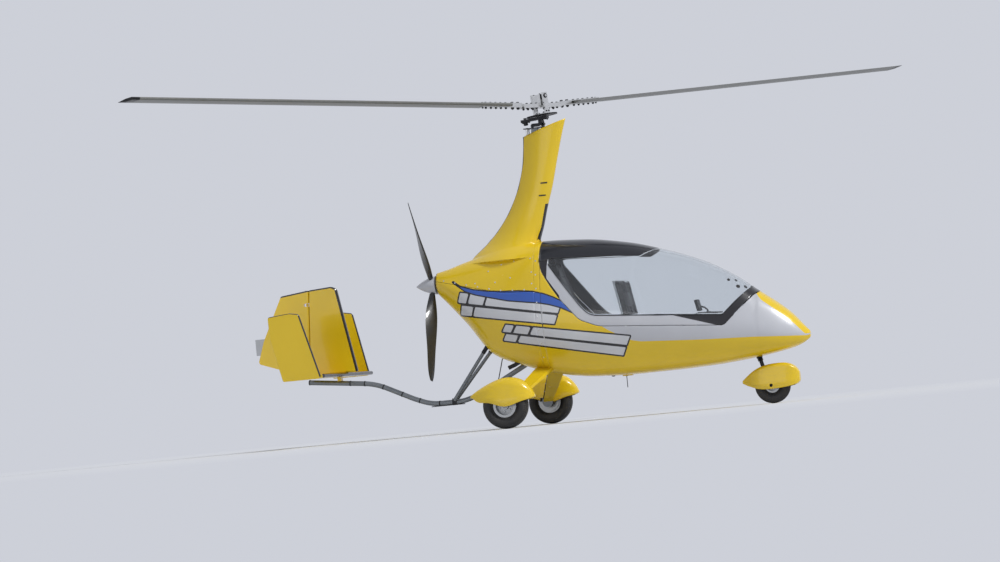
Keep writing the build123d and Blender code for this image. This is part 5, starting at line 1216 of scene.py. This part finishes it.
def softPad(nodeName, bend, along, out, length, thickness):
    # A cushion: the node's shape, drawn in a little, filled as cloth under pressure and held at its underside.
    # Each seam then presses in by depth x exp(-(distance / width)^2) on the upper side.
    spec = padding
    start = nodes[nodeName].data.copy()
    place = coordinates(start)
    middle = (place.min(0) + place.max(0)) / 2
    start.vertices.foreach_set("co", (middle + (place - middle) * spec["shrink"]).astype(np.float32).ravel())
    pad = addObject(nodeName + "_pad", start)
    remesh = pad.modifiers.new("remesh", "REMESH")
    remesh.mode, remesh.voxel_size = "VOXEL", spec["voxel"]
    pad.data = evaluatedCopy(pad, nodeName + "_pad")
    pad.modifiers.clear()
    rest = coordinates(pad.data)
    origin = np.array([bend[0] + hubStation, 0, bend[1]]) / 1000
    rest = filledShape(pad, (rest - origin) @ out < (spec["offset"] + 9) / 1000)
    lift, way, aside = (rest - origin) @ out, (rest - origin) @ along, np.abs(rest[:, 1])
    upper = np.clip((lift - (spec["offset"] + 0.45 * thickness) / 1000) / 0.008, 0, 1)
    first, last, width = spec["start"] / 1000, length / 1000, spec["seamWidth"] / 1000
    cross = sum(np.exp(-((way - first - s * (last - first)) / width) ** 2) for s in spec["seams"])
    edge = np.exp(-((aside - spec["seamSide"]) / width) ** 2)
    press = np.maximum(np.minimum(cross, 1.0) * (aside < spec["seamSide"]), edge) * upper
    rest = rest - np.outer(press * spec["seamDepth"] / 1000, out)
    pad.data.vertices.foreach_set("co", rest.astype(np.float32).ravel())
    pad.data.shade_smooth()
    pad.data.materials.clear()
    pad.data.materials.append(finishes["leather"])
    smooth = pad.modifiers.new("finer", "SUBSURF")
    smooth.levels = smooth.render_levels = 1
    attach(pad, "airframe")
    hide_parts(nodeName)


def seatLine(bend, end, side):
    # Unit direction from the bend to the end, the one square to it on the upper side, and the length.
    way = np.subtract(end, bend)
    a = way / np.hypot(*way)
    return np.array([a[0], 0, a[1]]), side * np.array([-a[1], 0, a[0]]), np.hypot(*way)


def strap(points, across, width=46.0, thickness=2.4, steps=10):
    # Flat webbing: a thin strip of even width along a smoothed path; its face stands square to the path and the width.
    points = np.asarray(points, float)
    knots = np.concatenate([[0], np.cumsum(np.linalg.norm(np.diff(points, axis=0), axis=1))])
    t = np.linspace(0, knots[-1], steps * (len(points) - 1) + 1)
    path = np.stack([smoothTable(t, knots, points[:, k]) for k in range(3)], -1)
    along = unit(np.gradient(path, axis=0))
    across = np.asarray(across, float) * np.ones_like(path)
    across = unit(across - (across * along).sum(1)[:, None] * along)
    face = np.cross(along, across)
    signs = ((-1, -1), (1, -1), (1, 1), (-1, 1))
    corners = [path + across * (sx * width / 2) + face * (sy * thickness / 2) for sx, sy in signs]
    ends = np.arange(4) + np.array([[0], [(len(path) - 1) * 4]])
    return np.stack(corners, 1).reshape(-1, 3), [gridFaces(len(path), 4, False, True), ends]


# Strap points are (face, distance along it, sideways, height over the pad); "top" counts from just under the backrest's top.
harness = dict(
    shoulder=[("top", -60, 92, -67.3), ("top", 8, 92, -45.3), ("top", -12, 92, 9), ("top", -150, 88, 9), ("back", 260, 70, 9),
              ("back", 150, 56, 12), ("base", 180, 34, 14)],
    lap=[("back", 70, 200, -34), ("base", 120, 176, 6), ("base", 160, 110, 11), ("base", 182, 30, 16)],
    buckle=("base", 184, 0, 20), adjuster=("back", 330, 74, 12), topGap=8)


def seatSpot(corner, faces, way, point):
    # From the bend: along the face by start + distance, out of it by offset + pad + height, and sideways.
    face, distance, aside, height = point
    along, out, first, pad = faces[face]
    return corner + along * (first + distance) + out * (padding["offset"] + pad + height) + np.array([0, way * aside, 0])


straps, buckles = [], []
for name, front, bend, top in seats:
    (a, na, baseLength), (b, nb, backLength) = seatLine(bend, front, 1), seatLine(bend, top, -1)
    softPad(name + "_seat_cushion", bend, a, na, baseLength - padding["endGap"], padding["base"])
    softPad(name + "_backrest_cushion", bend, b, nb, backLength - padding["endGap"], padding["back"])
    corner = np.array([bend[0], 0, bend[1]])
    faces = dict(base=(a, na, 0, padding["base"]), back=(b, nb, 0, padding["back"]),
                 top=(b, nb, backLength - harness["topGap"], padding["back"]))
    for way in (-1, 1):
        straps.append(strap([seatSpot(corner, faces, way, point) for point in harness["shoulder"]], (0, 1, 0)))
        straps.append(strap([seatSpot(corner, faces, way, point) for point in harness["lap"]], a + np.array([0, 0, 0.001])))
        place = seatSpot(corner, faces, way, harness["adjuster"])
        buckles.append(lathe([(-3, 4), (-3, 24), (3, 24), (4, 20), (4, 4)], 4, place, nb))
    place = seatSpot(corner, faces, 1, harness["buckle"])
    buckles.append(lathe([(-8, 10), (-8, 30), (2, 31), (6, 27), (7, 1)], 40, place, na))
makePiece("harnessStraps", straps, "airframe", "webbing", sharp=50.0)
makePiece("harnessBuckles", buckles, "airframe", "darkMetal", bevel=0.8)
print("stage 11: cushions and harness")

panel = dict(rearTop=(1180, 0, 790), rearLow=(1190, 0, 640), knobs=(-20, 0, 20), knobDown=112, sides=48,
             gauges=[(-128, 42, 33), (-44, 46, 39), (44, 46, 39), (128, 42, 33), (-128, 112, 24), (-68, 116, 20),
                     (68, 116, 20), (128, 112, 24)])
panelWay = unit(np.subtract(panel["rearLow"], panel["rearTop"]))
panelOut = np.array([panelWay[2], 0, -panelWay[0]])
onPanel = lambda y, down: np.array(panel["rearTop"]) + panelWay * down + np.array([0, y, 0])
parts = []
for y, down, radius in panel["gauges"]:
    bezel = [(-1, radius * 0.86), (-1, radius + 3), (4, radius + 3), (6, radius), (6, radius * 0.9), (2, radius * 0.86)]
    parts.append(lathe(bezel, panel["sides"], onPanel(y, down), panelOut, closed=True))
for y in panel["knobs"]:
    parts.append(lathe([(0, 8), (3, 8), (3, 5), (12, 5), (13, 4)], 20, onPanel(y, panel["knobDown"]), panelOut))
makePiece("panelBezels", parts, "airframe", "cabin", bevel=0.4)


def dialFaces(gauges, sides):
    # Flat round faces in the bezels; each one's map is 0.5 + 0.5 cos and 0.5 + 0.5 sin of the angle round it.
    turn = np.linspace(0, 2 * math.pi, sides, endpoint=False)
    circle = np.cos(turn)[:, None] * np.array([0, -1, 0]) - np.sin(turn)[:, None] * panelWay
    points = [onPanel(y, down) + panelOut * 2.2 + radius * 0.88 * circle for y, down, radius in gauges]
    mesh = bpy.data.meshes.new("dialFaces")
    mesh.from_pydata(((np.concatenate(points) + overOrigin) / 1000).tolist(), [],
                     np.arange(sides * len(gauges)).reshape(-1, sides).tolist())
    flat = np.tile(np.stack([0.5 + 0.5 * np.cos(turn), 0.5 + 0.5 * np.sin(turn)], -1), (len(gauges), 1))
    mesh.uv_layers.new(name="UVMap").data.foreach_set("uv", flat.astype(np.float32).ravel())
    mesh.materials.append(finishes["dial"])
    piece = addObject("dialFaces", mesh)
    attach(piece, "airframe")


dialFaces(panel["gauges"], panel["sides"])
device = dict(low=(1168, -58, 822), high=(1192, 58, 916), tilt=-12, hinge=(1180, 0, 820), armRadius=7, foot=(1250, 0, 803),
              arm=[(1190, 0, 858), (1222, 0, 846), (1244, 0, 826), (1250, 0, 804)])
parts = placed([slab(device["low"], device["high"])], turnY, device["tilt"], device["hinge"])
parts.append(tube(device["arm"], device["armRadius"], 14, (0, 1, 0)))
parts.append(lathe([(0, 24), (4, 24), (8, 14)], 28, device["foot"], (0, 0, 1)))
makePiece("panelDevice", parts, "airframe", "cabin", bevel=2.5)
print("stage 12: panel")


studio = dict(floor=(0.73, 0.745, 0.79), sky=(0.61, 0.63, 0.69), worldStrength=0.46, radius=120.0, fade=(2.6, 9.0),
              domeLow=(0.50, 0.52, 0.56), domeHigh=(0.95, 0.97, 1.0))


def makeFloor(spec):
    # A flat disc of rings; it fades into the surrounding light as its distance from the middle runs over the fade range.
    radii = np.concatenate([[0.0], np.geomspace(0.5, spec["radius"], 24)])
    turn = np.linspace(0, 2 * math.pi, 96, endpoint=False)
    x, y = radii[:, None] * np.cos(turn), radii[:, None] * np.sin(turn)
    mesh = bpy.data.meshes.new("studioFloor")
    mesh.from_pydata(np.stack([x, y, 0 * x], -1).reshape(-1, 3).tolist(), [],
                     gridFaces(len(radii), len(turn), False, True)[:, ::-1].tolist())
    material, tree, output = freshMaterial("studioFloor")
    matte = addNode(tree, "ShaderNodeBsdfDiffuse", Color=spec["floor"])
    glow = addNode(tree, "ShaderNodeEmission", Color=spec["sky"], Strength=1.0)
    distance = addNode(tree, "ShaderNodeVectorMath", {"operation": "LENGTH"}, i0=objectPlace(tree)).outputs["Value"]
    mixedShader(tree, output, stepUp(tree, distance, *spec["fade"]), matte, glow)
    mesh.materials.append(material)
    addObject("studioFloor", mesh)


def makeWorld(spec):
    # The camera, glass and mirrors see the plain sky; everything else is lit by a dome that brightens with height.
    world = bpy.data.worlds.new("studio")
    scene.world = world
    world.use_nodes = True
    tree = world.node_tree
    tree.nodes.clear()
    output = tree.nodes.new("ShaderNodeOutputWorld")
    path = addNode(tree, "ShaderNodeLightPath").outputs
    seen = mathNode(tree, "MAXIMUM", path["Is Camera Ray"], path["Is Transmission Ray"])
    seen = mathNode(tree, "MAXIMUM", seen, path["Is Glossy Ray"])
    way = addNode(tree, "ShaderNodeTexCoord").outputs["Generated"]
    upward = addNode(tree, "ShaderNodeSeparateXYZ", Vector=way).outputs[2]
    dome = mixColour(tree, stepUp(tree, upward, -0.1, 0.7), spec["domeLow"], spec["domeHigh"])
    shown = addNode(tree, "ShaderNodeBackground", Color=spec["sky"], Strength=1.0)
    cast = addNode(tree, "ShaderNodeBackground", Color=dome, Strength=spec["worldStrength"])
    mixedShader(tree, output, seen, cast, shown)


makeFloor(studio)
makeWorld(studio)
lamps = [
    dict(name="keySun", towards=(-0.80, 0.30, -0.80), strength=2.2, spread=12.0),
    dict(name="fillSun", towards=(0.20, 0.95, 0.10), strength=0.30, spread=40.0),
]
for lamp in lamps:
    data = bpy.data.lights.new(lamp["name"], "SUN")
    data.energy, data.angle = lamp["strength"], math.radians(lamp["spread"])
    light = addObject(lamp["name"], data)
    light.rotation_euler = Vector(unit(lamp["towards"]).tolist()).to_track_quat("-Z", "Y").to_euler()
print("stage 13: studio")
